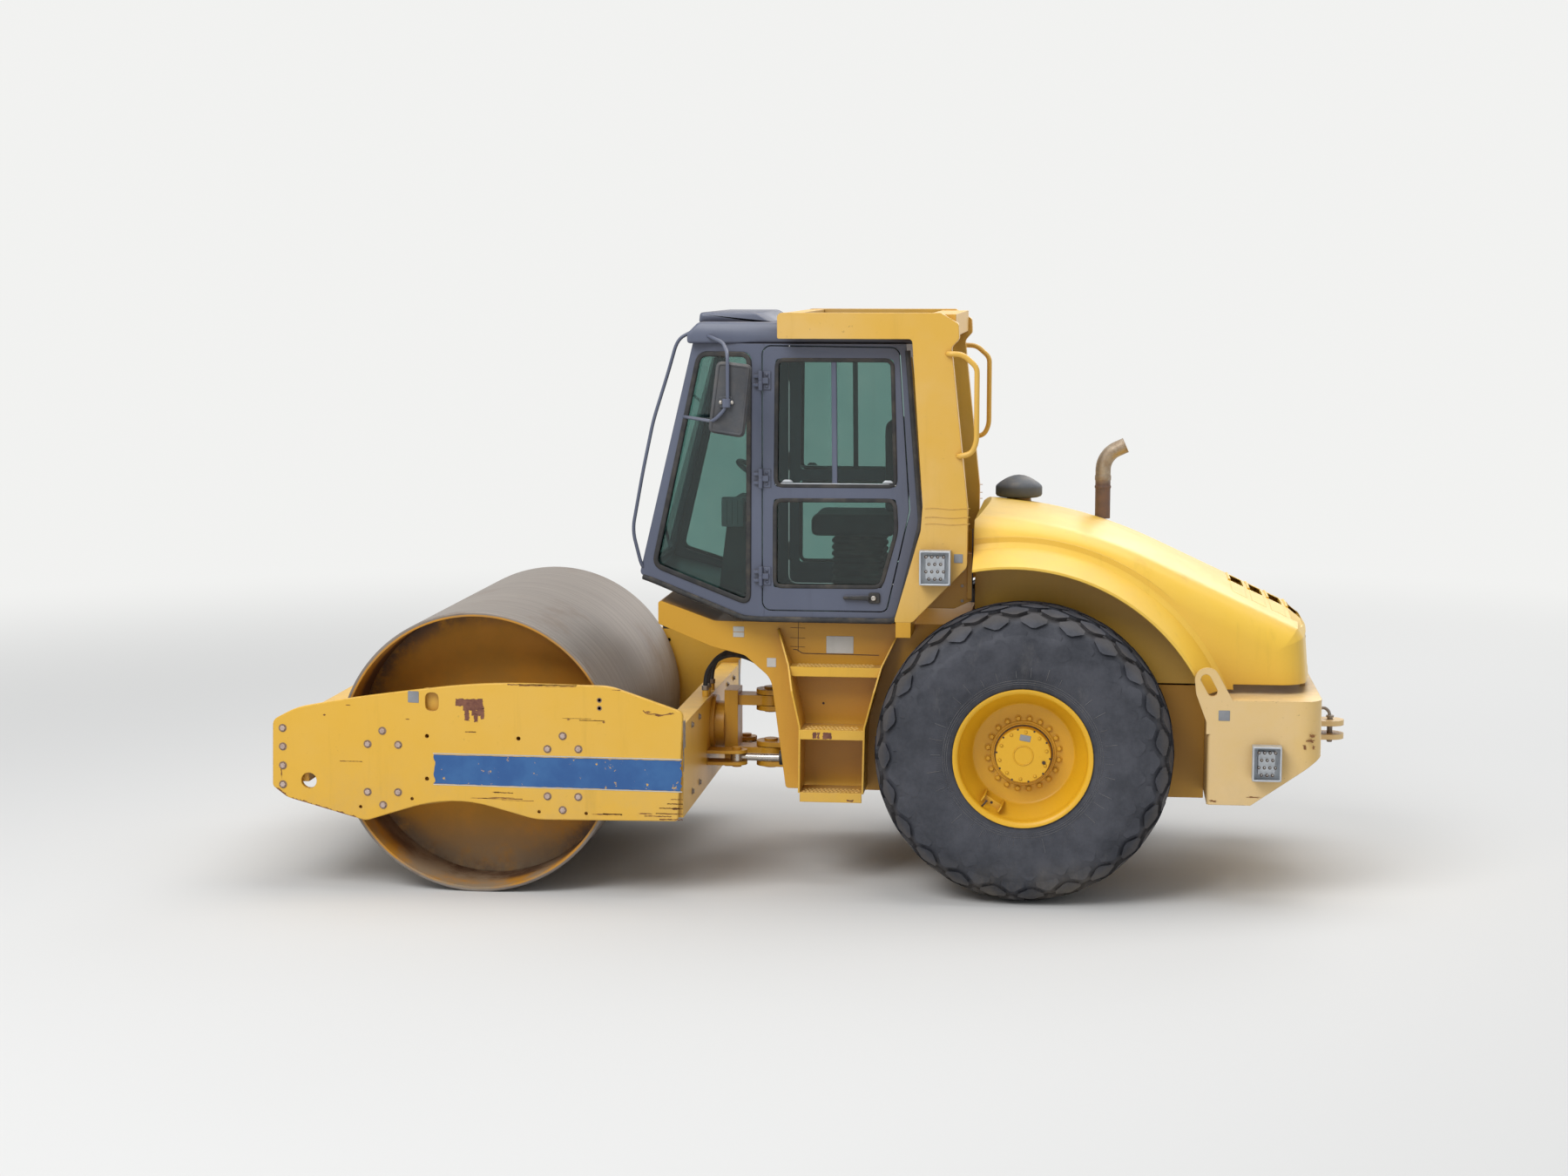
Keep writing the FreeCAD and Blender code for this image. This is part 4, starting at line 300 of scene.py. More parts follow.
def inner_paint():
    """Orange paint inside the drum: streaked, with dust and dried mud lying low."""
    s = Shade("drum_inner_paint")
    normal = s.soft_edges(0.006)[0]
    rolled, distance = s.around(DRUM_AXIS, 0.5)
    cloud = s.noise(2.6, 7.0, 0.65)
    colour = s.mix(s.span(cloud, 0.35, 0.7), (0.68, 0.30, 0.018), (0.56, 0.28, 0.04))
    # Darker in patches towards the disc's outer edge.
    outer_darkening = s.times(s.span(distance, 0.60, 0.72), s.span(s.noise(7.0, 6.0, 0.7), 0.3, 0.6))
    colour = s.mix(outer_darkening, colour, (0.15, 0.085, 0.05))
    low = s.times(s.span(s.axis("Z"), 0.4, 0.08), s.span(cloud, 0.3, 0.55, 0.0, 0.8))
    colour = s.mix(low, colour, (0.38, 0.29, 0.19))
    s.set(Base_Color=colour, Roughness=s.span(cloud, 0.3, 0.7, 0.55, 0.85))
    s.set(Normal=s.bump(s.noise(24.0, 6.0, 0.7), 0.3, 0.003, normal))
    return s.material


def tyre_material():
    """Worn black rubber gone blue-grey, with dust in the grooves and fine ribs near the bead."""
    s = Shade("tyre_rubber")
    rolled, distance = s.around(WHEEL_AXIS, 0.78)
    cloud = s.noise(5.0, 7.0, 0.7)
    colour = s.mix(s.span(cloud, 0.3, 0.7), (0.028, 0.031, 0.041), (0.066, 0.069, 0.085))
    scuff = s.noise(4.0, 8.0, 0.75, s.scaled((1.0, 1.0, 0.35)))
    colour = s.mix(s.span(scuff, 0.55, 0.75, 0.0, 0.5), colour, (0.16, 0.155, 0.155))
    groove = s.span(distance, 0.772, 0.745, 0.0, 0.35)
    outside = s.span(distance, 0.70, 0.735)
    colour = s.mix(s.times(groove, outside), colour, (0.10, 0.085, 0.07))
    low = s.times(s.span(s.axis("Z"), 0.3, 0.0, 0.0, 0.6), s.span(scuff, 0.35, 0.65))
    colour = s.mix(low, colour, (0.22, 0.19, 0.15))
    band = s.times(s.span(distance, 0.47, 0.44), s.span(distance, 0.385, 0.40))
    ribs = s.times(s.wave("X", 22.0, rolled), s.times(band, 0.5))
    relief = s.plus(ribs, s.times(s.noise(40.0, 6.0, 0.7), 0.5))
    s.set(Base_Color=colour, Roughness=s.span(scuff, 0.3, 0.7, 0.62, 0.82))
    s.set(Normal=s.bump(relief, 0.5, 0.003))
    return s.material


def glass_material():
    """Green tinted cab glass with a film of dust."""
    s = Shade("green_glass")
    film = s.noise(3.0, 7.0, 0.7)
    tint = s.mix(s.span(film, 0.4, 0.75, 0.0, 0.5), (0.30, 0.45, 0.42), (0.40, 0.52, 0.48))
    s.set(Base_Color=tint, Roughness=0.0)
    s.set(Transmission_Weight=1.0, IOR=1.45)
    return s.material


def cloth_material():
    s = Shade("seat_cloth")

    colour = s.mix(s.span(s.noise(7.0, 5.0), 0.35, 0.7), (0.035, 0.037, 0.045), (0.06, 0.062, 0.07))
    s.set(Base_Color=colour, Roughness=0.9, Sheen_Weight=0.3)
    s.set(Normal=s.bump(s.wave("DIAGONAL", 160.0), 0.4, 0.001))
    return s.material


def exhaust_material():
    """Rusty at the foot, brown grey above, with heat marks."""
    s = Shade("exhaust_steel")
    height = s.axis("Z")
    cloud = s.noise(14.0, 7.0, 0.7)
    rusty = s.mix(s.span(cloud, 0.35, 0.7), (0.13, 0.085, 0.075), (0.20, 0.115, 0.08))
    pale = s.mix(s.span(cloud, 0.35, 0.7), (0.42, 0.35, 0.27), (0.30, 0.22, 0.15))
    colour = s.mix(s.span(height, 2.09, 2.13), rusty, pale)
    s.set(Base_Color=colour, Metallic=s.span(height, 2.09, 2.13, 0.1, 0.65))
    s.set(Roughness=s.span(cloud, 0.3, 0.7, 0.4, 0.65))
    s.set(Normal=s.bump(cloud, 0.3, 0.001))
    return s.material


def stripe_material():
    """Plain blue band with thin pale edges, torn where it has worn."""
    s = Shade("blue_band")
    worn = s.noise(26.0, 6.0, 0.7)
    colour = s.mix(s.span(s.noise(6.0, 5.0), 0.4, 0.7), (0.022, 0.10, 0.30), (0.035, 0.135, 0.35))
    colour = s.mix(s.span(worn, 0.64, 0.67), colour, YELLOW)
    s.set(Base_Color=colour, Roughness=0.42)
    s.set(Normal=s.bump(worn, 0.15, 0.0005))
    return s.material


M["drum"] = drum_material()
M["drum_inner"] = inner_paint()
M["tyre"] = tyre_material()
M["glass"] = glass_material()
M["cloth"] = cloth_material()
M["exhaust"] = exhaust_material()
M["stripe"] = stripe_material()


def mottled_patch(name, base, other, rough=0.8):
    """A mottled flat finish: rust or primer where the paint has gone, bare steel, pale paint and bolt heads, dark
    marks, and painted shade in holes and counterbores.
    """
    s = Shade(name)
    cloud = s.noise(34.0, 6.0, 0.7)
    s.set(Base_Color=s.mix(s.span(cloud, 0.35, 0.65), base, other), Roughness=rough)
    s.set(Normal=s.bump(cloud, 0.3, 0.001))
    return s.material


M["rib"] = plain("sidewall_rib", (0.19, 0.19, 0.20), (0.10, 0.10, 0.11), 0.8)
M["rust"] = mottled_patch("rust_patch", (0.16, 0.062, 0.022), (0.30, 0.13, 0.04))
M["primer"] = mottled_patch("primer_patch", (0.15, 0.055, 0.038), (0.24, 0.10, 0.06))
# Dark marks: seams, lines, spots, a plug and the valve, and the painted shade of holes, notches, the hub's foot
# and the exhaust's mouth.
M["dark_tone"] = mottled_patch("dark_marks_and_painted_shade", (0.045, 0.030, 0.024), (0.09, 0.055, 0.035))
M["pale_bolt"] = mottled_patch("pale_bolt", (0.56, 0.44, 0.39), (0.42, 0.31, 0.26), 0.5)
M["counterbore_shadow"] = mottled_patch("counterbore_shadow", (0.20, 0.13, 0.09), (0.30, 0.20, 0.14), 0.6)
M["mirror"] = plain("mirror_pane", (0.75, 0.76, 0.77), (0.7, 0.71, 0.72), 0.05, 1.0, dust=0.1)
M["bare_grey"] = mottled_patch("bare_grey", (0.36, 0.36, 0.38), (0.24, 0.22, 0.21), 0.6)
M["step_pale"] = mottled_patch("step_pale", (0.80, 0.52, 0.16), (0.62, 0.40, 0.12), 0.6)


def dress(material, *names):
    for name in names:
        data = NODES[name].data
        data.materials.clear()
        data.materials.append(M[material])


BOTH = ("_left", "_right")
dress("body", "side_plate_left", "side_plate_right", "front_beam", "rear_beam", "steps")
dress("frame", "chassis", "pivot_yoke", "pivot_ears", "carriers", "rear_axle")
dress("hood", "hood_shell")
dress("rops", "rops", "handrails")
dress("tail", "tail_weight")
dress("rim", "rim_left", "rim_right")
dress("slate", "cab_shell", "cab_roof", "door_left", "door_right")
dress("drum", "drum_shell")
dress("drum_inner", "drum_discs")
dress("tyre", "tyre_left", "tyre_right")
dress("glass", "cab_glass", "door_glass_left", "door_glass_right")
dress("cloth", "seat")
dress("exhaust", "exhaust_stack")
dress("rubber", "buffers", "scrapers", "cab_mounts")
dress("tail", "tow_hitch")
dress("dark", "engine_block", "tanks", "hood_grille", "cylinder_barrel_left", "cylinder_barrel_right")
dress("bright", "cylinder_rod_left", "cylinder_rod_right")
dress("plastic", "mirrors", "steering_console")
dress("cap", "precleaner")
dress("zinc", "lamp_guards")


# Pieces

def piece(name, body, material, mesh, smooth=None):
    """A new object in the row frame that rides on a body."""
    made = bpy.data.objects.new(name, mesh)
    bpy.context.scene.collection.objects.link(made)
    if smooth is not None:
        for polygon in mesh.polygons:
            polygon.use_smooth = smooth
    mesh.materials.clear()
    mesh.materials.append(M[material])
    if body:
        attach(made, body)
    return made


def grown_mesh(name, build):
    """A mesh that a function fills through bmesh."""
    form = bmesh.new()
    build(form)
    bmesh.ops.recalc_face_normals(form, faces=form.faces)
    mesh = bpy.data.meshes.new(name)
    form.to_mesh(mesh)
    form.free()
    return mesh


def smooth_by_angle(mesh, degrees=35.0):
    """Smooth faces with the edges above the angle kept sharp."""
    form = bmesh.new()
    form.from_mesh(mesh)
    limit = math.radians(degrees)
    for edge in form.edges:
        edge.smooth = len(edge.link_faces) == 2 and edge.calc_face_angle(0.0) < limit
    for face in form.faces:
        face.smooth = True
    form.to_mesh(mesh)
    form.free()


def grown(name, body, material, angle=35.0, both=False):
    """Makes a piece of the function below it, which fills a bmesh, once or for each side's sign."""
    def make(build):
        def fill(form):
            for sign in (-1, 1):
                build(form, sign)

        mesh = grown_mesh(name, fill if both else build)
        smooth_by_angle(mesh, angle)
        return piece(name, body, material, mesh)
    return make


def looking(place, normal, up=(0.0, 0.0, 1.0)):
    """Placement at a point with its Z along normal and its Y near up."""
    z = Vector(normal).normalized()
    x = Vector(up).cross(z)
    if x.length < 0.01:
        x = Vector((1.0, 0.0, 0.0))
    x.normalize()
    turn = Matrix((x, z.cross(x), z)).transposed()
    return Matrix.Translation(Vector(place)) @ turn.to_4x4()


def rounded(points, reach, steps=4, closed=True):
    """The points with every corner replaced by a curve that starts at reach from it."""
    points = [Vector(p) for p in points]
    count = len(points)
    made = []
    for i, here in enumerate(points):
        if not closed and i in (0, count - 1):
            made.append(here)
            continue
        into = here - points[i - 1]
        out = points[(i + 1) % count] - here
        start = here - into.normalized() * min(reach, into.length * 0.45)
        end = here + out.normalized() * min(reach, out.length * 0.45)
        for k in range(steps + 1):
            t = k / steps
            made.append(start * (1 - t) ** 2 + here * 2 * t * (1 - t) + end * t * t)
    return made


def inset(outline, amount):
    """A counterclockwise outline moved inwards by amount."""
    points = [Vector(p) for p in outline]
    made = []
    for i, here in enumerate(points):
        a = (here - points[i - 1]).normalized()
        b = (points[(i + 1) % len(points)] - here).normalized()
        normal_a, normal_b = Vector((-a.y, a.x)), Vector((-b.y, b.x))
        made.append(here + (normal_a + normal_b) * amount / max(0.3, 1 + normal_a.dot(normal_b)))
    return made


def add_rings(form, rings, closed_round=True, caps=True, loop=False):
    """Joins rings of points with faces."""
    made = [[form.verts.new(p) for p in ring] for ring in rings]
    pairs = list(zip(made, made[1:]))
    if loop:
        pairs.append((made[-1], made[0]))
    for low, high in pairs:
        size = len(low)
        for i in range(size if closed_round else size - 1):
            j = (i + 1) % size
            form.faces.new((low[i], low[j], high[j], high[i]))
    if caps and not loop:
        form.faces.new(list(reversed(made[0])))
        form.faces.new(made[-1])
    return made


def slab(form, at, outline, depth, bevel=0.0, base=0.0):
    """Adds a plate from base up to depth over an outline in at's X and Y, its upper rim chamfered."""
    levels = [(base, 0.0), (depth - bevel, 0.0)]
    if bevel:
        levels.append((depth, bevel))
    rings = []
    for height, inward in levels:
        flat = inset(outline, inward) if inward else outline
        rings.append([at @ Vector((p[0], p[1], height)) for p in flat])
    add_rings(form, rings)


def circle(radius, count):
    turns = [math.tau * i / count for i in range(count)]
    return [(radius * math.cos(a), radius * math.sin(a)) for a in turns]


def turned(form, at, profile, segments=24):
    """Adds a body turned about at's Z from a profile of (radius, height)."""
    rings = []
    for radius, height in profile:
        rings.append([at @ Vector((x, y, height)) for x, y in circle(max(radius, 0.00001), segments)])
    add_rings(form, rings)


def tube(form, points, radius, sides=10, closed=False, flat=1.0, up=None):
    """Adds a round or flattened bar along points."""
    points = [Vector(p) for p in points]
    count = len(points)
    rings = []
    side = None
    for i, here in enumerate(points):
        if closed:
            along = points[(i + 1) % count] - points[i - 1]
        else:
            along = points[min(i + 1, count - 1)] - points[max(i - 1, 0)]
        along.normalize()
        if up is not None:
            side = Vector(up).cross(along).normalized()
        elif side is None:
            side = along.orthogonal().normalized()
        else:
            side = (side - along * side.dot(along)).normalized()
        other = along.cross(side)
        ring = []
        for k in range(sides):
            angle = math.tau * k / sides
            across = side * math.cos(angle) + other * math.sin(angle) * flat
            ring.append(here + across * radius)
        rings.append(ring)
    add_rings(form, rings, loop=closed)


def bent(form, points, reach, steps, radius, sides=12, flat=1.0, sign=1):
    """Adds a pipe along points, or along their mirror images, bent smoothly at its corners."""
    line = [(x, sign * y, z) for x, y, z in points]
    tube(form, rounded(line, reach, steps, closed=False), radius, sides=sides, flat=flat)


def bolt(form, place, normal, radius, turn=0.0, rise=0.7):
    """Adds a seating ring and a hexagonal head."""
    at = looking(place, normal) @ Matrix.Rotation(turn, 4, "Z")
    turned(form, at, ((radius * 1.45, -0.002), (radius * 1.45, 0.0016), (radius * 1.3, 0.0026)), 18)
    slab(form, at, circle(radius, 6), radius * rise + 0.0026, radius * 0.14)


def ragged(centre, half_x, half_y, seed, count=22, rough=0.35):
    """A torn outline about a centre."""
    chance = random.Random(seed)
    outline = []
    for i in range(count):
        angle = math.tau * i / count
        far = 1.0 - rough * chance.random()
        outline.append((centre[0] + half_x * far * math.cos(angle), centre[1] + half_y * far * math.sin(angle)))
    return outline


# Hoses over the steering joint: the routes that the CAD's source has

HOSE_DIAMETER = 0.026
HOSES = (
    ("hose_1", 0.671, (
        (-0.665, -0.150, 0.960), (-0.665, -0.150, 1.030), (-0.637, -0.146, 1.098),
        (-0.576, -0.140, 1.148), (-0.494, -0.136, 1.162), (-0.408, -0.134, 1.138),
        (-0.326, -0.136, 1.086), (-0.240, -0.140, 1.045), (-0.150, -0.140, 1.045))),
    ("hose_2", 0.682, (
        (-0.665, -0.060, 0.960), (-0.665, -0.060, 1.036), (-0.634, -0.057, 1.108),
        (-0.570, -0.052, 1.158), (-0.486, -0.048, 1.168), (-0.402, -0.048, 1.136),
        (-0.322, -0.052, 1.080), (-0.238, -0.058, 1.040), (-0.150, -0.058, 1.040))),
    ("hose_3", 0.669, (
        (-0.665, 0.090, 0.960), (-0.665, 0.090, 1.029), (-0.637, 0.088, 1.096),
        (-0.577, 0.084, 1.145), (-0.496, 0.080, 1.159), (-0.410, 0.080, 1.133),
        (-0.328, 0.084, 1.081), (-0.242, 0.088, 1.040), (-0.150, 0.088, 1.040))),
)


def curve_mesh(name, points, radius):
    """A smooth pipe along the route as a mesh, and the points of its line."""
    data = bpy.data.curves.new(name + "_line", "CURVE")
    data.dimensions = "3D"
    spline = data.splines.new("NURBS")
    spline.points.add(len(points) - 1)
    for point, place in zip(spline.points, points):
        point.co = (*place, 1.0)
    spline.order_u = 3
    spline.use_endpoint_u = True
    spline.resolution_u = 10
    line = bpy.data.objects.new(name + "_line", data)
    bpy.context.scene.collection.objects.link(line)
    bpy.context.view_layer.update()
    bare = bpy.data.meshes.new_from_object(line)
    path = [tuple(v.co) for v in bare.vertices]
    data.bevel_depth = radius
    data.bevel_resolution = 5
    data.use_fill_caps = True
    bpy.context.view_layer.update()
    pipe = bpy.data.meshes.new_from_object(line)
    bpy.data.objects.remove(line)
    bpy.data.meshes.remove(bare)
    return pipe, path


for node, length, points in HOSES:
    pipe, path = curve_mesh("flex_" + node, points, HOSE_DIAMETER / 2)
    flex = piece("flex_" + node, None, "rubber", pipe, smooth=True)
    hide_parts(node)
    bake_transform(flex)


def on_side(sign, y):
    """A side face at a distance from the middle: X along the machine, Y up, Z outwards."""
    turn = Matrix(((1, 0, 0, 0), (0, 0, sign, 0), (0, 1, 0, 0), (0, 0, 0, 1)))
    return Matrix.Translation((0, sign * y, 0)) @ turn


def facing(sign, x, y, z):
    """A spot on a side face, its Z outwards."""
    return looking((x, sign * y, z), (0, sign, 0))


def on_both(form, y, outline, depth, bevel=0.0, base=0.0):
    for sign in (-1, 1):
        slab(form, on_side(sign, y), outline, depth, bevel, base)


def square(x0, x1, z0, z1, reach=0.0, steps=3):
    outline = ((x0, z0), (x1, z0), (x1, z1), (x0, z1))
    return rounded(outline, reach, steps) if reach else outline

# Tyres with staggered tread blocks

TYRE_PROFILE = (
    (0.780, 0.000), (0.779, 0.070), (0.775, 0.130), (0.765, 0.185), (0.745, 0.228), (0.716, 0.258),
    (0.680, 0.277), (0.630, 0.288), (0.575, 0.290), (0.510, 0.286), (0.450, 0.276), (0.400, 0.262),
    (0.362, 0.250), (0.346, 0.240))
TREAD_DEPTH = 0.026
BLOCKS_ROUND = 23
# Rows of blocks: (distance from the crown's middle, height left, share of the full block)
TREAD_ROWS = ((0.0, 0.026, 1.0), (0.086, 0.026, 1.0), (0.172, 0.025, 1.0), (0.256, 0.020, 1.0),
              (0.338, 0.0065, 0.95), (0.410, 0.0025, 0.85))
BLOCK = ((-0.064, 0.009), (-0.064, -0.009), (-0.011, -0.043), (0.011, -0.043),
         (0.064, -0.009), (0.064, 0.009), (0.011, 0.043), (-0.011, 0.043))


def tyre_line():
    """The tyre's outline as (distance along it, radius, out, normal radius, normal out)."""
    mirrored = [(r, -y) for r, y in reversed(TYRE_PROFILE[1:])]
    points = [Vector(p) for p in mirrored + list(TYRE_PROFILE)]
    fine = []
    for i in range(len(points) - 1):
        before = points[max(i - 1, 0)]
        after = points[min(i + 2, len(points) - 1)]
        a, b = points[i], points[i + 1]
        for k in range(3):
            t = k / 3
            first = a + (b - before) / 6
            second = b - (after - a) / 6
            spot = (a * (1 - t) ** 3 + first * 3 * t * (1 - t) ** 2
                    + second * 3 * t * t * (1 - t) + b * t ** 3)
            fine.append(spot)
    fine.append(points[-1])
    run = [0.0]
    for a, b in zip(fine, fine[1:]):
        run.append(run[-1] + (b - a).length)
    middle = run[-1] / 2
    line = []
    for i, spot in enumerate(fine):
        along = (fine[min(i + 1, len(fine) - 1)] - fine[max(i - 1, 0)]).normalized()
        line.append((run[i] - middle, spot.x, spot.y, along.y, -along.x))
    return line


TYRE_LINE = tyre_line()


def on_tyre(angle, along, height):
    """A point over the tyre's outline, in the wheel's own frame with its axis along Y."""
    line = TYRE_LINE
    i = 1
    while i < len(line) - 1 and line[i][0] < along:
        i += 1
    low, high = line[i - 1], line[i]
    t = (along - low[0]) / (high[0] - low[0])
    radius, out, n_radius, n_out = (low[k] + (high[k] - low[k]) * t for k in range(1, 5))
    radius += n_radius * height
    out += n_out * height
    return Vector((radius * math.cos(angle), out, radius * math.sin(angle)))


def tyre_mesh(name, centre):
    """Casing of revolution, with the tread blocks standing out of it."""
    chance = random.Random(41)
    steps = 96

    def groove(along):
        near = min(1.0, max(0.0, (0.40 - abs(along)) / 0.12))
        return -TREAD_DEPTH * near * near * (3 - 2 * near)

    def build(form):
        rings = []
        for i in range(steps):
            angle = math.tau * i / steps
            rings.append([centre + on_tyre(angle, p[0], groove(p[0])) for p in TYRE_LINE])
        add_rings(form, rings, closed_round=False, caps=False, loop=True)
        for row, (distance, height, share) in enumerate(TREAD_ROWS):
            for side in (-1, 1) if distance else (-1,):
                for k in range(BLOCKS_ROUND):
                    middle = math.tau * (k + 0.5 * (row % 2)) / BLOCKS_ROUND
                    worn = height - chance.uniform(0.0, 0.003)
                    add_block(form, centre, middle, side * distance, share, worn, groove)

    mesh = grown_mesh(name, build)
    smooth_by_angle(mesh, 28.0)
    return mesh


def add_block(form, centre, middle, row, share, height, groove):
    """One tread block: its foot in the groove, its top on the tyre's outline, its rim chamfered."""
    outline = [(x * share, y * share) for x, y in reversed(BLOCK)]
    foot = groove(row)
    rings = []
    for inward, level in ((0.0, foot - 0.004), (0.003, foot + height - 0.004), (0.0075, foot + height)):
        flat = inset(outline, inward) if inward else [Vector(p) for p in outline]
        rings.append([centre + on_tyre(middle + p.x / 0.76, row + p.y, level) for p in flat])
    add_rings(form, rings)


def add_rib(form, centre, middle, side, length, half):
    """A thin moulded rib that runs outwards from near the bead."""
    rings = []
    for k in range(4):
        along = side * (half - 0.085 - length * k / 3)
        wide = 0.0022 / 0.45
        rings.append([
            centre + on_tyre(middle - wide, along, -0.001),
            centre + on_tyre(middle, along, 0.0022),
            centre + on_tyre(middle + wide, along, -0.001)])
    add_rings(form, rings)


for side, sign in SIDES:
    centre = WHEEL_AXIS + Vector((0.0, sign * WHEEL_Y, 0.0))
    mesh = tyre_mesh("tread_" + side, centre)
    tyre = piece("tread_" + side, "wheel_" + side, "tyre", mesh)
    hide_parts("tyre_" + side)

    @grown("sidewall_" + side, "wheel_" + side, "rib")
    def sidewall_marks(form):
        """Thin moulded ribs that run outwards from near the bead, and rings round it."""
        chance = random.Random(43)
        half = TYRE_LINE[-1][0]
        for flank in (-1, 1):
            for k in range(34):
                middle = math.tau * (k + chance.uniform(-0.2, 0.2)) / 34
                if chance.random() < 0.85:
                    add_rib(form, centre, middle, flank, chance.uniform(0.035, 0.075), half)
            for along in (0.050, 0.060, 0.072):
                turns = [math.tau * i / 96 for i in range(96)]
                ring = [centre + on_tyre(a, flank * (half - along), 0.0004) for a in turns]
                tube(form, ring, 0.0013, sides=5, closed=True, up=(0, 1, 0))


# Rims: hub ring, bolts, cap details, valve bracket

RIM_DISC_Y = 0.878
CAP_FACE_Y = 0.951
BRACKET_TURN = math.radians(237)


def on_rim(sign, radius, angle, out):
    """A point in the wheel's plane: angle in degrees from +X towards +Z."""
    turn = math.radians(angle)
    x = WHEEL_AXIS.x + radius * math.cos(turn)
    return (x, sign * out, WHEEL_AXIS.z + radius * math.sin(turn))


for side, sign in SIDES:
    body = "wheel_" + side
    out = (0, sign, 0)

    @grown("rim_parts_" + side, body, "rim")
    def rim_parts(form):
        wheel = facing(sign, WHEEL_AXIS.x, RIM_DISC_Y, WHEEL_AXIS.z)
        for i in range(20):
            bolt(form, on_rim(sign, 0.186, i * 18 + 9, RIM_DISC_Y), out, 0.0125, i * 0.4, 0.9)
        hub = ((0.172, -0.004), (0.172, 0.003), (0.169, 0.006), (0.158, 0.006), (0.158, -0.004))
        turned(form, wheel, hub, 48)
        cap = facing(sign, WHEEL_AXIS.x, CAP_FACE_Y, WHEEL_AXIS.z)
        ring = [cap @ Vector((x, y, 0.0)) for x, y in circle(0.050, 40)]
        tube(form, ring, 0.0035, sides=8, closed=True, up=out)
        for i in range(10):
            bolt(form, on_rim(sign, 0.124, i * 36 + 12, CAP_FACE_Y), out, 0.0065, i, 0.5)
        for across in (-0.052, 0.052):
            fin = on_rim(sign, 0.290, 237, 0.93)
            at = looking(fin, (math.sin(BRACKET_TURN), 0, -math.cos(BRACKET_TURN)), out)
            at = at @ Matrix.Translation((0, 0, across))
            shape = ((-0.030, -0.030), (0.030, -0.030), (0.022, 0.075), (-0.010, 0.075))
            slab(form, at @ Matrix.Translation((0, 0, -0.004)), shape, 0.008, 0.001)
        up = (math.cos(BRACKET_TURN), 0, math.sin(BRACKET_TURN))
        plate = looking(on_rim(sign, 0.296, 237, 0.955), out, up)
        slab(form, plate, square(-0.056, 0.056, -0.018, 0.020, 0.006), 0.006, 0.001)

    # The valve and a plug, and dark discs and a ring of painted shade on the rim.
    @grown("rim_shadows_and_valve_" + side, body, "dark_tone")
    def rim_shadows_and_valve(form):
        # Painted shade: a dark disc in each of the ten notches round the cap.
        for i in range(10):
            at = looking(on_rim(sign, 0.139, i * 36 - 6, CAP_FACE_Y), out)
            turned(form, at, ((0.0055, -0.002), (0.0055, 0.0006), (0.0, 0.0006)), 12)
        plug = looking(on_rim(sign, 0.112, -18, CAP_FACE_Y), out)
        turned(form, plug, ((0.009, 0), (0.009, 0.006), (0, 0.007)), 12)
        # Painted shade in the hole of the bracket's plate.
        hole = looking(on_rim(sign, 0.296, 237, 0.961), out)
        turned(form, hole, ((0.007, 0), (0.007, 0.001), (0, 0.001)), 12)
        valve = [on_rim(sign, far, 231, y) for far, y in ((0.335, 1.012), (0.318, 1.030), (0.290, 1.020))]
        bent(form, valve, 0.012, 4, 0.005, sides=10)
        # Painted shadow: a dark ring round the foot of the hub.
        foot = facing(sign, WHEEL_AXIS.x, RIM_DISC_Y + 0.013, WHEEL_AXIS.z)
        turned(form, foot, ((0.152, -0.003), (0.152, 0.003), (0.1485, 0.007), (0.146, 0.007), (0.146, -0.003)), 48)

    @grown("rim_label_" + side, body, "grey_label")
    def rim_label(form):
        label = looking(on_rim(sign, 0.092, 84, CAP_FACE_Y), out, (math.sin(0.17), 0, math.cos(0.17)))
        slab(form, label, square(-0.028, 0.028, -0.016, 0.016, 0.003, 2), 0.0012, 0.0004)


# Side plates of the drum frame, with a smooth outline, their holes and slot

# The plate's outline from the drum's axis: (x, z, how far its corner's curve reaches)
PLATE_OUTLINE = (
    (-1.081, 0.169, 0.030), (-1.090, -0.187, 0.015), (-1.011, -0.247, 0.020), (-0.586, -0.363, 0.020),
    (-0.118, -0.215, 0.300), (0.330, -0.335, 0.050), (1.085, -0.325, 0.020), (1.115, 0.251, 0.030),
    (0.731, 0.381, 0.050), (0.062, 0.390, 0.240), (-0.596, 0.305, 0.300), (-0.952, 0.237, 0.060))
PLATE_HOLES = (
    (-0.891, -0.154, 0.042), (-0.247, 0.098, 0.011), (0.243, 0.095, 0.011), (-0.251, -0.130, 0.011),
    (0.240, -0.128, 0.011), (-0.333, -0.239, 0.009), (-0.613, -0.289, 0.009), (0.349, -0.292, 0.009),
    (0.600, -0.295, 0.009), (0.675, 0.307, 0.011), (0.675, 0.265, 0.011))
PLATE_SLOT = (-0.254, -0.181, 0.232, 0.330)


def plate_loops():
    """The plate's outer line and its holes, counterclockwise, in X and Z of the row frame."""
    centre = Vector((DRUM_AXIS.x, DRUM_AXIS.z))
    outer = []
    count = len(PLATE_OUTLINE)
    for i, (x, z, reach) in enumerate(PLATE_OUTLINE):
        here = Vector((x, z))
        into = here - Vector(PLATE_OUTLINE[i - 1][:2])
        out = Vector(PLATE_OUTLINE[(i + 1) % count][:2]) - here
        start = here - into.normalized() * min(reach, into.length * 0.48)
        end = here + out.normalized() * min(reach, out.length * 0.48)
        for k in range(9):
            t = k / 8
            outer.append(centre + start * (1 - t) ** 2 + here * 2 * t * (1 - t) + end * t * t)
    holes = []
    for x, z, radius in PLATE_HOLES:
        sides = 32 if radius > 0.02 else 16
        turns = [math.tau * k / sides for k in range(sides)]
        holes.append([centre + Vector((x + radius * math.cos(a), z + radius * math.sin(a))) for a in turns])
    x0, x1, z0, z1 = PLATE_SLOT
    slot = rounded(square(x0, x1, z0, z1), 0.036, 8)
    holes.append([centre + p for p in slot])
    return outer, holes


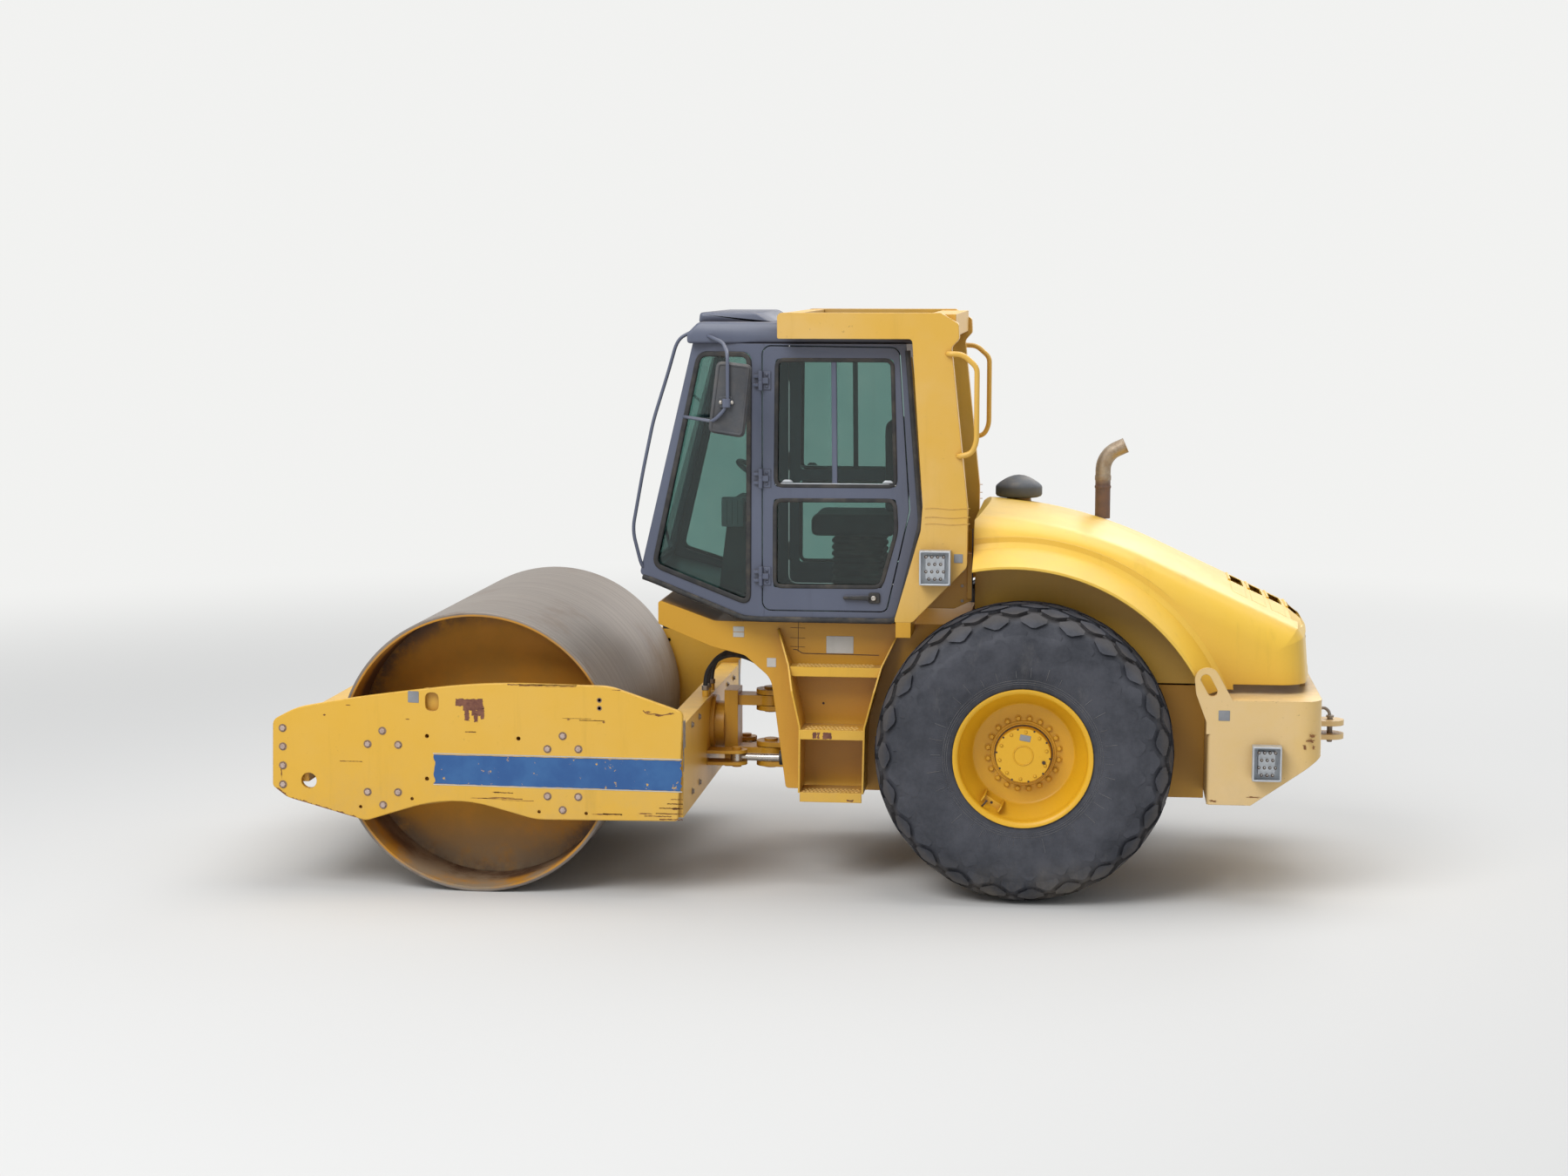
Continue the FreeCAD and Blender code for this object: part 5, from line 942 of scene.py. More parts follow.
def pierced(form, at, outer, holes, depth, bevel):
    """Adds a plate with holes, from at's XY plane up to depth, its outer rims chamfered."""
    loops = [outer] + holes
    for height, inward in ((0.0, bevel), (depth, bevel)):
        flat = [inset(outer, inward)] + holes
        faces = tessellate_polygon([[Vector((p.x, p.y, 0.0)) for p in loop] for loop in flat])
        corners = [form.verts.new(at @ Vector((p.x, p.y, height))) for loop in flat for p in loop]
        for a, b, c in faces:
            form.faces.new((corners[a], corners[b], corners[c]))
    rims = []
    for height, inward in ((0.0, bevel), (bevel, 0.0), (depth - bevel, 0.0), (depth, bevel)):
        rims.append([at @ Vector((p.x, p.y, height)) for p in inset(outer, inward)])
    add_rings(form, rims, caps=False)
    for hole in loops[1:]:
        rings = [[at @ Vector((p.x, p.y, height)) for p in hole] for height in (0.0, depth)]
        add_rings(form, rings, caps=False)
    bmesh.ops.remove_doubles(form, verts=form.verts, dist=0.00002)


for side, sign in SIDES:
    @grown("plate_" + side, "drum_frame", "body", angle=20)
    def plate(form):
        outer, holes = plate_loops()
        pierced(form, on_side(sign, 1.100), outer, holes, 0.030, 0.004)

    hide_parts("side_plate_" + side)

    @grown("slot_back_" + side, "drum_frame", "body")
    def slot_back(form):
        slab(form, on_side(sign, 1.090), square(-2.024, -1.911, 0.962, 1.100, 0.02), 0.009)


# Side plates of the drum frame: bolts, band, blank sticker, worn places

PLATE_BOLTS = (
    (-2.778, 0.875), (-2.779, 0.776), (-2.781, 0.674), (-2.783, 0.572),
    (-2.237, 0.871), (-2.318, 0.799), (-2.153, 0.798), (-2.323, 0.542), (-2.158, 0.544), (-2.240, 0.474),
    (-1.271, 0.864), (-1.353, 0.793), (-1.188, 0.796), (-1.355, 0.542), (-1.191, 0.542), (-1.275, 0.470))
SMALL_BOLTS = ((-1.075, 1.057), (-1.075, 1.015))


# Painted shadow: a dark ring round each bolt head stands for the shade in its counterbore.
@grown("plate_bolt_rings", "drum_frame", "counterbore_shadow")
def plate_bolt_rings(form):
    for x, z in PLATE_BOLTS + SMALL_BOLTS:
        big = 0.013 if (x, z) in SMALL_BOLTS else 0.0215
        ring = ((big, -0.001), (big, 0.0012), (big * 0.62, 0.0012), (big * 0.62, -0.001))
        for sign in (-1, 1):
            turned(form, facing(sign, x, PLATE_OUT_Y, z), ring, 24)


@grown("plate_bolt_heads", "drum_frame", "pale_bolt")
def plate_bolt_heads(form):
    for i, (x, z) in enumerate(PLATE_BOLTS):
        for sign in (-1, 1):
            at = facing(sign, x, PLATE_OUT_Y, z) @ Matrix.Rotation(i * 0.7, 4, "Z")
            slab(form, at, circle(0.0145, 6), 0.009, 0.002)


@grown("plate_band", "drum_frame", "stripe")
def plate_band(form):
    """The band, torn at its ends and a little along its edges."""
    chance = random.Random(5)
    low = [(-1.966 + 1.325 * i / 60, 0.594 - 0.009 * i / 60 + chance.uniform(0.0, 0.002)) for i in range(60)]
    rear = [(-0.641 - chance.uniform(0.0, 0.012), 0.585 + 0.163 * i / 12) for i in range(12)]
    high = [(-0.641 - 1.325 * i / 60, 0.748 + 0.003 * i / 60 - chance.uniform(0.0, 0.002)) for i in range(60)]
    front = [(-1.966 + chance.uniform(0.0, 0.012), 0.751 - 0.157 * i / 12) for i in range(12)]
    on_both(form, PLATE_OUT_Y, low + rear + high + front, 0.0012)


@grown("plate_band_edges", "drum_frame", "white", both=True)
def plate_band_edges(form, sign):
    for low, high in ((0.588, 0.579), (0.754, 0.751)):
        outline = ((-1.966, low), (-0.641, high), (-0.641, high + 0.005), (-1.966, low + 0.005))
        slab(form, on_side(sign, PLATE_OUT_Y), outline, 0.0009)

# Worn places on the plate: (centre x, z, half length, half height, seed)
RUSTED = ((-1.626, 0.557, 0.030, 0.004, 14), (-1.72, 0.523, 0.060, 0.003, 15), (-1.60, 0.528, 0.090, 0.003, 16),
          (-1.06, 0.452, 0.080, 0.004, 17), (-0.84, 0.462, 0.050, 0.005, 18), (-0.672, 0.492, 0.032, 0.008, 19),
          (-1.47, 1.1325, 0.070, 0.003, 20), (-1.36, 1.133, 0.120, 0.003, 21), (-1.24, 0.952, 0.014, 0.006, 22),
          (-1.052, 0.941, 0.010, 0.007, 23), (-0.820, 1.000, 0.024, 0.007, 24), (-0.765, 0.983, 0.030, 0.007, 25),
          (-0.700, 0.994, 0.026, 0.006, 26), (-2.79, 0.640, 0.005, 0.050, 27), (-2.10, 0.936, 0.012, 0.004, 28),
          (-2.42, 1.005, 0.018, 0.003, 29), (-0.98, 1.112, 0.030, 0.003, 30), (-2.55, 0.95, 0.009, 0.006, 31))


# Worn primer: ragged bars, as scraped off with a blade
PRIMER_BARS = ((-1.840, -1.695, 1.012, 1.050), (-1.800, -1.690, 0.990, 1.014), (-1.792, -1.768, 0.935, 0.992),
               (-1.755, -1.700, 0.962, 0.992), (-1.742, -1.722, 0.930, 0.970), (-1.706, -1.688, 0.945, 1.000))


def jagged(x0, x1, z0, z1, seed, rough=0.005, steps=12):
    """A rectangle whose four edges are torn."""
    chance = random.Random(seed)
    corners = ((x0, z0), (x1, z0), (x1, z1), (x0, z1))
    outline = []
    for i, a in enumerate(corners):
        b = corners[(i + 1) % 4]
        for k in range(steps):
            t = k / steps
            outline.append((a[0] + (b[0] - a[0]) * t + chance.uniform(-rough, rough),
                            a[1] + (b[1] - a[1]) * t + chance.uniform(-rough, rough)))
    return outline


@grown("plate_primer", "drum_frame", "primer", both=True)
def plate_primer(form, sign):
    for i, (x0, x1, z0, z1) in enumerate(PRIMER_BARS):
        outline = jagged(x0, x1, z0, z1, i + 3, 0.003)
        slab(form, on_side(sign, PLATE_OUT_Y), outline, 0.0005 + i * 0.00002)

# Scratches and torn paint: (x0, x1, z0, z1), thin and ragged
SCRATCHES = (
    (-1.560, -1.380, 1.128, 1.133), (-1.500, -1.200, 1.124, 1.127), (-1.500, -1.194, 1.131, 1.134),
    (-1.640, -1.540, 0.553, 0.557), (-1.700, -1.490, 0.521, 0.524), (-1.600, -1.430, 0.514, 0.516),
    (-1.270, -1.120, 0.957, 0.959), (-1.180, -1.050, 0.948, 0.951), (-2.470, -2.350, 0.703, 0.706),
    (-1.790, -1.735, 0.873, 0.877), (-0.840, -0.700, 0.448, 0.452), (-0.780, -0.640, 0.462, 0.466),
    (-0.760, -0.640, 0.492, 0.496), (-0.720, -0.638, 0.515, 0.519), (-0.700, -0.638, 0.540, 0.543),
    (-0.760, -0.640, 0.432, 0.437), (-1.060, -0.960, 0.452, 0.457))
CHIP = ((-0.845, 1.008), (-0.830, 0.992), (-0.805, 0.988), (-0.780, 0.992), (-0.750, 0.984), (-0.715, 0.990),
        (-0.690, 0.996))


@grown("plate_rust", "drum_frame", "rust", both=True)
def plate_rust(form, sign):
    at = on_side(sign, PLATE_OUT_Y)
    for i, (x0, x1, z0, z1) in enumerate(SCRATCHES):
        slab(form, at, jagged(x0, x1, z0, z1, i + 30, (z1 - z0) * 0.45, 16), 0.0006)
    for x, z, half_x, half_z, seed in RUSTED:
        slab(form, at, ragged((x, z), half_x, half_z, seed, 26, 0.7), 0.0006)
    line = [at @ Vector((x, z, 0.0002)) for x, z in CHIP]
    tube(form, rounded(line, 0.012, 3, closed=False), 0.0026, sides=6, flat=0.3, up=(0, 1, 0))


@grown("plate_sticker", "drum_frame", "grey_label")
def plate_sticker(form):
    outline = ((-2.096, 1.026), (-2.038, 1.024), (-2.037, 1.085), (-2.095, 1.087))
    on_both(form, PLATE_OUT_Y, rounded(outline, 0.004, 2), 0.0010)


# Cab: seals round the panes, dividers, rails, hinges, handles

DOOR_UPPER = ((-0.212, 2.814), (0.411, 2.814), (0.432, 2.140), (-0.218, 2.138))
DOOR_LOWER = ((-0.222, 2.072), (0.427, 2.076), (0.437, 1.907), (0.354, 1.603), (-0.224, 1.600))
QUARTER = ((-0.640, 2.846), (-0.346, 2.846), (-0.352, 1.497), (-0.903, 1.690))
QUARTER_TURN = math.radians(13.1)

for side, sign in SIDES:
    body = "door_" + side

    @grown("door_seals_" + side, body, "rubber")
    def door_seals(form):
        for outline in (DOOR_UPPER, DOOR_LOWER):
            loop = rounded([(p.x, sign * 0.6235, p.y) for p in inset(outline[::-1], 0.006)], 0.040, 5)
            tube(form, loop, 0.011, sides=8, closed=True, flat=0.45, up=(0, 1, 0))

    @grown("door_divider_" + side, body, "slate")
    def door_divider(form):
        bar = ((0.089, 2.145), (0.117, 2.145), (0.110, 2.812), (0.082, 2.812))
        slab(form, on_side(sign, 0.607), bar, 0.016, 0.003)

    @grown("door_rail_" + side, body, "zinc")
    def door_rail(form):
        at = on_side(sign, 0.611)
        slab(form, at, square(-0.214, 0.428, 2.146, 2.158), 0.014, 0.002)
        for x in (-0.150, 0.385):
            latch = ((x - 0.032, 2.160), (x + 0.032, 2.160), (x + 0.018, 2.176), (x - 0.018, 2.176))
            slab(form, at, rounded(latch, 0.006, 3), 0.016, 0.003)

    @grown("door_hinges_" + side, body, "slate")
    def door_hinges(form):
        for z in (2.699, 2.182, 1.660):
            for low, high in ((-0.052, -0.003), (0.003, 0.052)):
                at = looking((-0.291, sign * 0.636, z + low), (0, 0, 1))
                turned(form, at, ((0.0, 0.0), (0.0105, 0.0), (0.012, 0.002), (0.012, high - low - 0.002),
                                  (0.0105, high - low), (0.0, high - low)), 16)
            slab(form, on_side(sign, 0.622), square(-0.280, -0.238, z - 0.048, z + 0.048), 0.007, 0.0015)
            for dz in (-0.030, 0.030):
                bolt(form, (-0.258, sign * 0.629, z + dz), (0, sign, 0), 0.0055, z, 0.6)

    @grown("door_handle_" + side, body, "rubber")
    def door_handle(form):
        lever = ((0.150, 1.543), (0.290, 1.538), (0.290, 1.562), (0.150, 1.557))
        at = on_side(sign, 0.632)
        slab(form, at, rounded(lever, 0.006, 3), 0.016, 0.004)
        recess = square(0.285, 0.345, 1.522, 1.578, 0.012, 4)
        slab(form, at @ Matrix.Translation((0, 0, -0.009)), recess, 0.012, 0.003)

    @grown("door_lock_" + side, body, "bright")
    def door_lock(form):
        lock = ((0.014, 0.0), (0.014, 0.008), (0.011, 0.011), (0.006, 0.011), (0.005, 0.008), (0, 0.008))
        turned(form, facing(sign, 0.312, 0.634, 1.550), lock, 20)


@grown("quarter_seals", "rear_frame", "rubber", both=True)
def quarter_seals(form, sign):
    """Beads in the plane of the quarter panes, which tapers inwards to the front from X -0.292."""
    flat = inset(QUARTER[::-1], 0.010)
    line = [(p.x, sign * (0.620 + (p.x + 0.292) * math.tan(QUARTER_TURN) + 0.004), p.y) for p in flat]
    normal = (-math.sin(QUARTER_TURN), sign * math.cos(QUARTER_TURN), 0)
    tube(form, rounded(line, 0.05, 5), 0.014, sides=8, closed=True, flat=0.5, up=normal)


# Grab rails, guard tubes and mirror arms bent smoothly

RAIL = ((0.700, 0.740, 2.848), (0.709, 0.800, 2.850), (0.783, 0.800, 2.846), (0.857, 0.800, 2.780),
        (0.857, 0.800, 2.392), (0.831, 0.800, 2.333), (0.768, 0.800, 2.319), (0.760, 0.740, 2.319))
GUARD = ((-0.680, 0.470, 2.953), (-0.760, 0.470, 2.912), (-0.812, 0.470, 2.733), (-0.894, 0.470, 2.476),
         (-0.952, 0.470, 2.204), (-1.012, 0.470, 1.882), (-0.960, 0.470, 1.675), (-0.930, 0.410, 1.668))
ARM_TOP = ((-0.640, 0.484, 2.950), (-0.470, 0.780, 2.903), (-0.425, 0.931, 2.853), (-0.425, 0.931, 2.593))
ARM_LOW = ((-0.742, 0.474, 2.500), (-0.500, 0.931, 2.500), (-0.437, 0.931, 2.563), (-0.437, 0.931, 2.603))
MIRROR = ((-0.532, 2.442), (-0.344, 2.412), (-0.300, 2.791), (-0.485, 2.813))


@grown("rails_smooth", "rear_frame", "rops", angle=60, both=True)
def rails_piece(form, sign):
    bent(form, RAIL, 0.030, 5, 0.0142, 14, sign=sign)


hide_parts("handrails")


@grown("guard_tubes", "rear_frame", "slate", angle=60, both=True)
def guard_tubes(form, sign):
    bent(form, GUARD, 0.06, 6, 0.0095, sign=sign)


@grown("mirror_arms", "rear_frame", "slate", angle=60, both=True)
def arms(form, sign):
    for path in (ARM_TOP, ARM_LOW):
        bent(form, path, 0.05, 6, 0.0095, sign=sign)
    for x in (-0.425, -0.437):
        at = looking((x, sign * 0.931, 2.573), (0, 0, 1))
        turned(form, at, ((0.0, 0.0), (0.016, 0.0), (0.016, 0.045), (0.0, 0.045)), 14)


@grown("mirror_heads", "rear_frame", "plastic", both=True)
def mirror_heads(form, sign):
    at = on_side(sign, 0.878)
    body = rounded(MIRROR, 0.035, 5)
    slab(form, at, body, 0.036, 0.010)
    rim = [at @ Vector((p.x, p.y, 0.036)) for p in inset(body, 0.014)]
    tube(form, rim, 0.006, sides=8, closed=True, flat=0.7, up=(0, 1, 0))
    clamp = square(-0.472, -0.402, 2.568, 2.628, 0.008)
    slab(form, at @ Matrix.Translation((0, 0, 0.034)), clamp, 0.010, 0.003)


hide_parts("mirrors")


@grown("mirror_bolts", "rear_frame", "bright", both=True)
def mirror_bolts(form, sign):
    chance = random.Random(3)
    for x in (-0.462, -0.405):
        bolt(form, (x, sign * 0.924, 2.598), (0, sign, 0), 0.007, chance.uniform(0.0, 1.0))


@grown("mirror_panes", "rear_frame", "mirror", both=True)
def mirror_panes(form, sign):
    slab(form, on_side(-sign, -0.8785), inset(rounded(MIRROR, 0.035, 5), 0.012), 0.002)


# Perforated lamp guards: (x0, x1, z0, z1, out), with rows of four and three holes in turn. Each hole is drawn as a
# dark disc of painted shade with a small white disc of painted highlight in it
GUARD_AREAS = ((0.567, 0.728, 1.648, 1.828, 0.841), (2.293, 2.440, 0.672, 0.852, 0.951))


def guard_holes():
    places = []
    for x0, x1, z0, z1, out in GUARD_AREAS:
        wide, high = x1 - x0, z1 - z0
        for row in range(4):
            count = 4 - row % 2
            for k in range(count):
                x = x0 + wide * (0.5 + (k - (count - 1) / 2) * 0.19)
                z = z1 - high * (0.17 + row * 0.215)
                places.append((x, z, out))
    return places


# Painted shade: a dark disc in each hole of the guards.
@grown("guard_holes", "rear_frame", "dark_tone")
def guard_hole_shade(form):
    for x, z, out in guard_holes():
        for sign in (-1, 1):
            turned(form, facing(sign, x, out, z), ((0.0085, -0.003), (0.0085, 0.0006), (0.0, 0.0006)), 14)


# Painted highlight: a small white disc in each dark hole.
@grown("guard_glints", "rear_frame", "white")
def guard_glints(form):
    for x, z, out in guard_holes():
        for sign in (-1, 1):
            at = facing(sign, x + 0.001, out, z + 0.001)
            turned(form, at, ((0.0036, -0.002), (0.0036, 0.0009), (0.0, 0.0012)), 10)


@grown("guard_frames", "rear_frame", "zinc")
def guard_frames(form):
    for x0, x1, z0, z1, out in GUARD_AREAS:
        edge = square(x0 + 0.004, x1 - 0.004, z0 + 0.004, z1 - 0.004, 0.010, 4)
        for sign in (-1, 1):
            loop = [(p.x, sign * out, p.y) for p in edge]
            tube(form, loop, 0.005, sides=8, closed=True, flat=0.6, up=(0, 1, 0))


# Roll-over frame: welds
@grown("rops_welds", "rear_frame", "rops", both=True)
def rops_welds(form, sign):
    for z in (2.043, 1.997, 1.962):
        waves = [(0.590 + 0.236 * i / 8, z + 0.003 * math.sin(i)) for i in range(9)]
        tube(form, [(x, sign * (ROPS_OUT_Y + 0.0005), high) for x, high in waves], 0.0022, sides=6, flat=0.8)


# Blank labels on the roll-over frame and on the wall below the cab
@grown("rops_label", "rear_frame", "grey_label")
def rops_label(form):
    on_both(form, ROPS_OUT_Y, square(0.744, 0.790, 1.760, 1.806, 0.003), 0.0012)


@grown("chassis_labels", "rear_frame", "white")
def chassis_labels(form):
    slab(form, on_side(-1, 0.480), square(0.045, 0.192, 1.228, 1.322, 0.004), 0.0014, 0.0004)


# Seam at the hood's front; label and worn places on the tail
@grown("hood_seam", "hood", "rubber", both=True)
def hood_seam(form, sign):
    tube(form, [(0.836, sign * 0.6612, 1.54), (0.836, sign * 0.6612, 1.93)], 0.004, sides=8, flat=0.6)


@grown("tail_labels", "rear_frame", "grey_label")
def tail_labels(form):
    on_both(form, TAIL_HALF_Y, square(2.119, 2.177, 0.972, 1.026, 0.003), 0.0014, 0.0004)


@grown("tail_cracks", "rear_frame", "rust", both=True)
def tail_cracks(form, sign):
    spots = ((2.585, 0.876, 0.034, 0.012, 51), (2.600, 0.905, 0.022, 0.012, 52), (2.560, 0.845, 0.012, 0.020, 53),
             (2.604, 0.842, 0.012, 0.018, 54), (2.30, 0.575, 0.05, 0.006, 55), (2.10, 0.55, 0.03, 0.008, 56))
    for x, z, half_x, half_z, seed in spots:
        slab(form, on_side(sign, TAIL_HALF_Y), ragged((x, z), half_x, half_z, seed, 22, 0.75), 0.0006)


# Roof with a chamfered front and a raised, narrower part
@grown("roof", "rear_frame", "slate", angle=50)
def roof(form):
    panel = ((-0.690, 2.893), (0.520, 2.893), (0.520, 3.006), (-0.628, 3.006), (-0.690, 2.945))
    raised = ((-0.640, 2.996), (-0.236, 2.996), (-0.335, 3.056), (-0.634, 3.056))
    for outline, reach, half, bevel in ((panel, 0.018, 0.609, 0.010), (raised, 0.020, 0.519, 0.012)):
        slab(form, on_side(-1, -half), rounded(outline, reach, 4), 2 * half - bevel, bevel)


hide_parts("cab_roof")


# Rims turned from one profile: (radius, out from the tyre's middle)
RIM_PROFILE = (
    (0.000, 0.070), (0.222, 0.070), (0.262, 0.062), (0.321, 0.172), (0.321, 0.000), (0.333, -0.012),
    (0.333, -0.248), (0.363, -0.261), (0.363, -0.252), (0.3447, -0.244), (0.3447, 0.244), (0.356, 0.249),
    (0.363, 0.255), (0.362, 0.2605), (0.357, 0.261), (0.340, 0.252), (0.334, 0.244), (0.332, 0.215),
    (0.329, 0.203), (0.322, 0.190), (0.272, 0.101), (0.266, 0.092), (0.258, 0.088), (0.160, 0.088),
    (0.160, 0.100), (0.158, 0.102), (0.146, 0.102), (0.1445, 0.155), (0.141, 0.161), (0.000, 0.161))

for side, sign in SIDES:
    @grown("rim_turned_" + side, "wheel_" + side, "rim", angle=40)
    def rim(form):
        turned(form, facing(sign, WHEEL_AXIS.x, WHEEL_Y, WHEEL_AXIS.z), RIM_PROFILE, 72)

    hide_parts("rim_" + side)


# Air pre-cleaner: flat edged dome on a painted neck
@grown("precleaner_dome", "hood", "cap", angle=50)
def dome(form):
    at = Matrix.Translation((1.049, 0.280, 0.0))
    turned(form, at, ((0.0, 2.020), (0.108, 2.020), (0.124, 2.026), (0.130, 2.036), (0.130, 2.074), (0.127, 2.084),
                      (0.108, 2.101), (0.082, 2.118), (0.056, 2.131), (0.030, 2.140), (0.0, 2.144)), 48)


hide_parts("precleaner")


@grown("precleaner_neck", "hood", "rim")
def dome_neck(form):
    at = Matrix.Translation((1.049, 0.280, 0.0))
    turned(form, at, ((0.0, 1.975), (0.074, 1.975), (0.070, 2.000), (0.066, 2.022), (0.0, 2.022)), 36)


# Exhaust: base pipe, collar, bright band, elbow with an open end shown by a lip and a dark disc of soot and
# painted shade
def stack_line():
    x, y = 1.515, 0.330
    line = [(x, y, 1.90 + 0.03 * i) for i in range(10)]
    for i in range(13):
        angle = math.radians(66 * i / 12)
        line.append((x + 0.130 * (1 - math.cos(angle)), y, 2.170 + 0.130 * math.sin(angle)))
    end = line[-1]
    lean = math.radians(66)
    line += [(end[0] + 0.016 * i * math.sin(lean), y, end[2] + 0.016 * i * math.cos(lean)) for i in (1, 2, 3)]
    line = [Vector(p) for p in line]
    return line, looking(line[-1], line[-1] - line[-2])


@grown("stack", "hood", "exhaust", angle=50)
def stack(form):
    line, mouth = stack_line()
    tube(form, line, 0.0425, sides=28)
    turned(form, mouth, ((0.0425, -0.002), (0.0430, 0.003), (0.0385, 0.003), (0.0375, -0.001)), 28)


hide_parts("exhaust_stack")


# A dark disc closes the pipe's end: soot, and painted shade of the pipe's inside.
@grown("stack_mouth", "hood", "dark_tone")
def stack_mouth(form):
    turned(form, stack_line()[1], ((0.0380, -0.004), (0.0380, 0.0012), (0.0, 0.0012)), 28)


@grown("stack_bands", "hood", "exhaust", angle=50)
def stack_bands(form):
    for z, high, out in ((2.068, 0.016, 0.0450), (2.112, 0.030, 0.0445)):
        ring = ((0.041, 0.0), (out, 0.001), (out + 0.001, high * 0.5), (out, high - 0.001), (0.041, high))
        turned(form, Matrix.Translation((1.515, 0.330, z)), ring, 32)


# Tow hitch: its plates are the CAD's; pin and lever
@grown("hitch_pin", "rear_frame", "bolt", angle=50)
def hitch_pin(form):
    at = Matrix.Translation((2.765, 0.0, 0.0))
    turned(form, at, ((0.0, 0.716), (0.013, 0.716), (0.015, 0.720), (0.015, 0.850), (0.021, 0.852), (0.021, 0.864),
                      (0.0, 0.866)), 20)
    lever = ((2.765, 0, 0.860), (2.758, 0, 0.886), (2.735, 0, 0.905), (2.705, 0, 0.900), (2.690, 0, 0.880))
    bent(form, lever, 0.014, 4, 0.009)


# Seat: base with bellows, and padded cushion and back
@grown("seat_base", "rear_frame", "rubber", angle=50)
def seat_base(form):
    levels = []
    for i in range(9):
        low = 1.500 + i * 0.036
        levels += [(low, 0.0), (low + 0.012, 0.014), (low + 0.024, 0.014)]
    rings = []
    for z, out in levels + [(1.828, 0.0)]:
        outline = square(0.055 - out, 0.315 + out, -0.175 - out, 0.175 + out, 0.04, 4)
        rings.append([Vector((p.x, p.y, z)) for p in outline])
    add_rings(form, rings)


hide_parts("seat")


def soft_box(name, low, high, reach):
    """A closed rounded box, evenly meshed for the cloth."""
    def build(form):
        outline = square(low[0], high[0], low[1], high[1], reach, 5)
        rings = []
        for z, inward in ((low[2], 0.020), (low[2] + 0.010, 0.005), (low[2] + 0.025, 0.0), (high[2] - 0.035, 0.0),
                          (high[2] - 0.014, 0.008), (high[2], 0.028)):
            rings.append([Vector((p.x, p.y, z)) for p in inset(outline, inward)])
        add_rings(form, rings)

    return grown_mesh(name, build)


def stuffed(name, low, high, reach, seams, limit):
    """A cushion: remeshed, blown up with its seams held, and capped in how far it moves."""
    made = piece(name, None, "cloth", soft_box(name, low, high, reach), smooth=True)
    remesh = made.modifiers.new("even", "REMESH")
    remesh.mode = "VOXEL"
    remesh.voxel_size = 0.006
    remesh.use_smooth_shade = True
    bpy.context.view_layer.update()
    graph = bpy.context.evaluated_depsgraph_get()
    even = bpy.data.meshes.new_from_object(made.evaluated_get(graph))
    made.modifiers.clear()
    old = made.data
    made.data = even
    bpy.data.meshes.remove(old)
    even.materials.clear()
    even.materials.append(M["cloth"])
    held = made.vertex_groups.new(name="held")
    for v in even.vertices:
        near = min(abs(v.co[axis] - place) for axis, place in seams)
        if near < 0.005:
            held.add([v.index], 1.0, "REPLACE")
    cloth = made.modifiers.new("filling", "CLOTH")
    cloth.settings.vertex_group_mass = "held"
    cloth.settings.use_pressure = True
    cloth.settings.uniform_pressure_force = 4.0
    cloth.settings.effector_weights.gravity = 0.0
    cloth.settings.mass = 0.3
    cloth.settings.tension_stiffness = 12.0
    cloth.settings.compression_stiffness = 12.0
    cloth.settings.bending_stiffness = 0.6
    cloth.collision_settings.use_collision = False
    cloth.point_cache.frame_start = 1
    cloth.point_cache.frame_end = 20
    for f in range(1, 21):
        bpy.context.scene.frame_set(f)
    graph = bpy.context.evaluated_depsgraph_get()
    blown = bpy.data.meshes.new_from_object(made.evaluated_get(graph))
    made.modifiers.clear()
    for flat, full in zip(even.vertices, blown.vertices):
        move = full.co - flat.co
        if move.length > limit:
            move *= limit / move.length
        flat.co = flat.co + move
    bpy.data.meshes.remove(blown)
    bpy.context.scene.frame_set(1)
    smooth = made.modifiers.new("soft", "SUBSURF")
    smooth.levels = 1
    smooth.render_levels = 1
    for polygon in even.polygons:
        polygon.use_smooth = True
    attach(made, "rear_frame")
    return made


stuffed("seat_cushion", (-0.068, -0.238, 1.838), (0.390, 0.238, 1.955), 0.05,
        ((1, -0.150), (1, 0.150), (0, 0.060), (0, 0.180)), 0.012)
stuffed("seat_back", (0.338, -0.228, 1.968), (0.438, 0.228, 2.470), 0.03,
        ((1, -0.140), (1, 0.140), (2, 2.110), (2, 2.250)), 0.010)


# Light switch box and its lines, seen through the quarter pane
@grown("switch_box", "rear_frame", "grey_label")
def switch_box(form):
    slab(form, on_side(-1, 0.205), square(-0.556, -0.436, 1.885, 2.045, 0.006), 0.050, 0.004)


@grown("switch_lines", "rear_frame", "dark_tone")
def switch_lines(form):
    for x in (-0.526, -0.496, -0.466):
        slab(form, on_side(-1, 0.2555), square(x - 0.001, x + 0.001, 1.90, 2.03), 0.0006)


# Rubber edge under the cab; seams, spots and labels between the cab and the ground
SKIRT = ((-0.955, 0.462, 1.628), (-0.900, 0.480, 1.612), (-0.389, 0.602, 1.428), (-0.290, 0.622, 1.427),
         (0.430, 0.628, 1.427), (0.452, 0.628, 1.500), (0.560, 0.628, 1.950), (0.486, 0.628, 2.860))


@grown("cab_skirt", "rear_frame", "rubber", angle=60, both=True)
def cab_skirt(form, sign):
    bent(form, SKIRT, 0.04, 5, 0.015, 10, sign=sign)


@grown("wall_seams", "rear_frame", "dark_tone", both=True)
def wall_seams(form, sign):
    y = sign * 0.4805
    seam = ((-0.135, y, 1.247), (-0.110, y, 1.245), (-0.088, y, 1.226), (0.330, y, 1.222))
    bent(form, seam, 0.012, 3, 0.0025, 6, 0.6)
    for z in (1.365, 1.310, 1.262):
        tube(form, [(-0.150, y, z), (-0.070, y, z - 0.002)], 0.0014, sides=6, flat=0.6)
    tube(form, [(-0.108, y, 1.235), (-0.106, y, 1.395)], 0.0016, sides=6, flat=0.6)


@grown("wall_spots", "rear_frame", "dark_tone")
def wall_spots(form):
    for x, z in ((0.030, 0.955), (0.030, 0.830)):
        at = on_side(-1, 0.480) @ Matrix.Translation((x, z, 0))
        turned(form, at, ((0.0065, 0.0), (0.0065, 0.002), (0.0, 0.002)), 12)


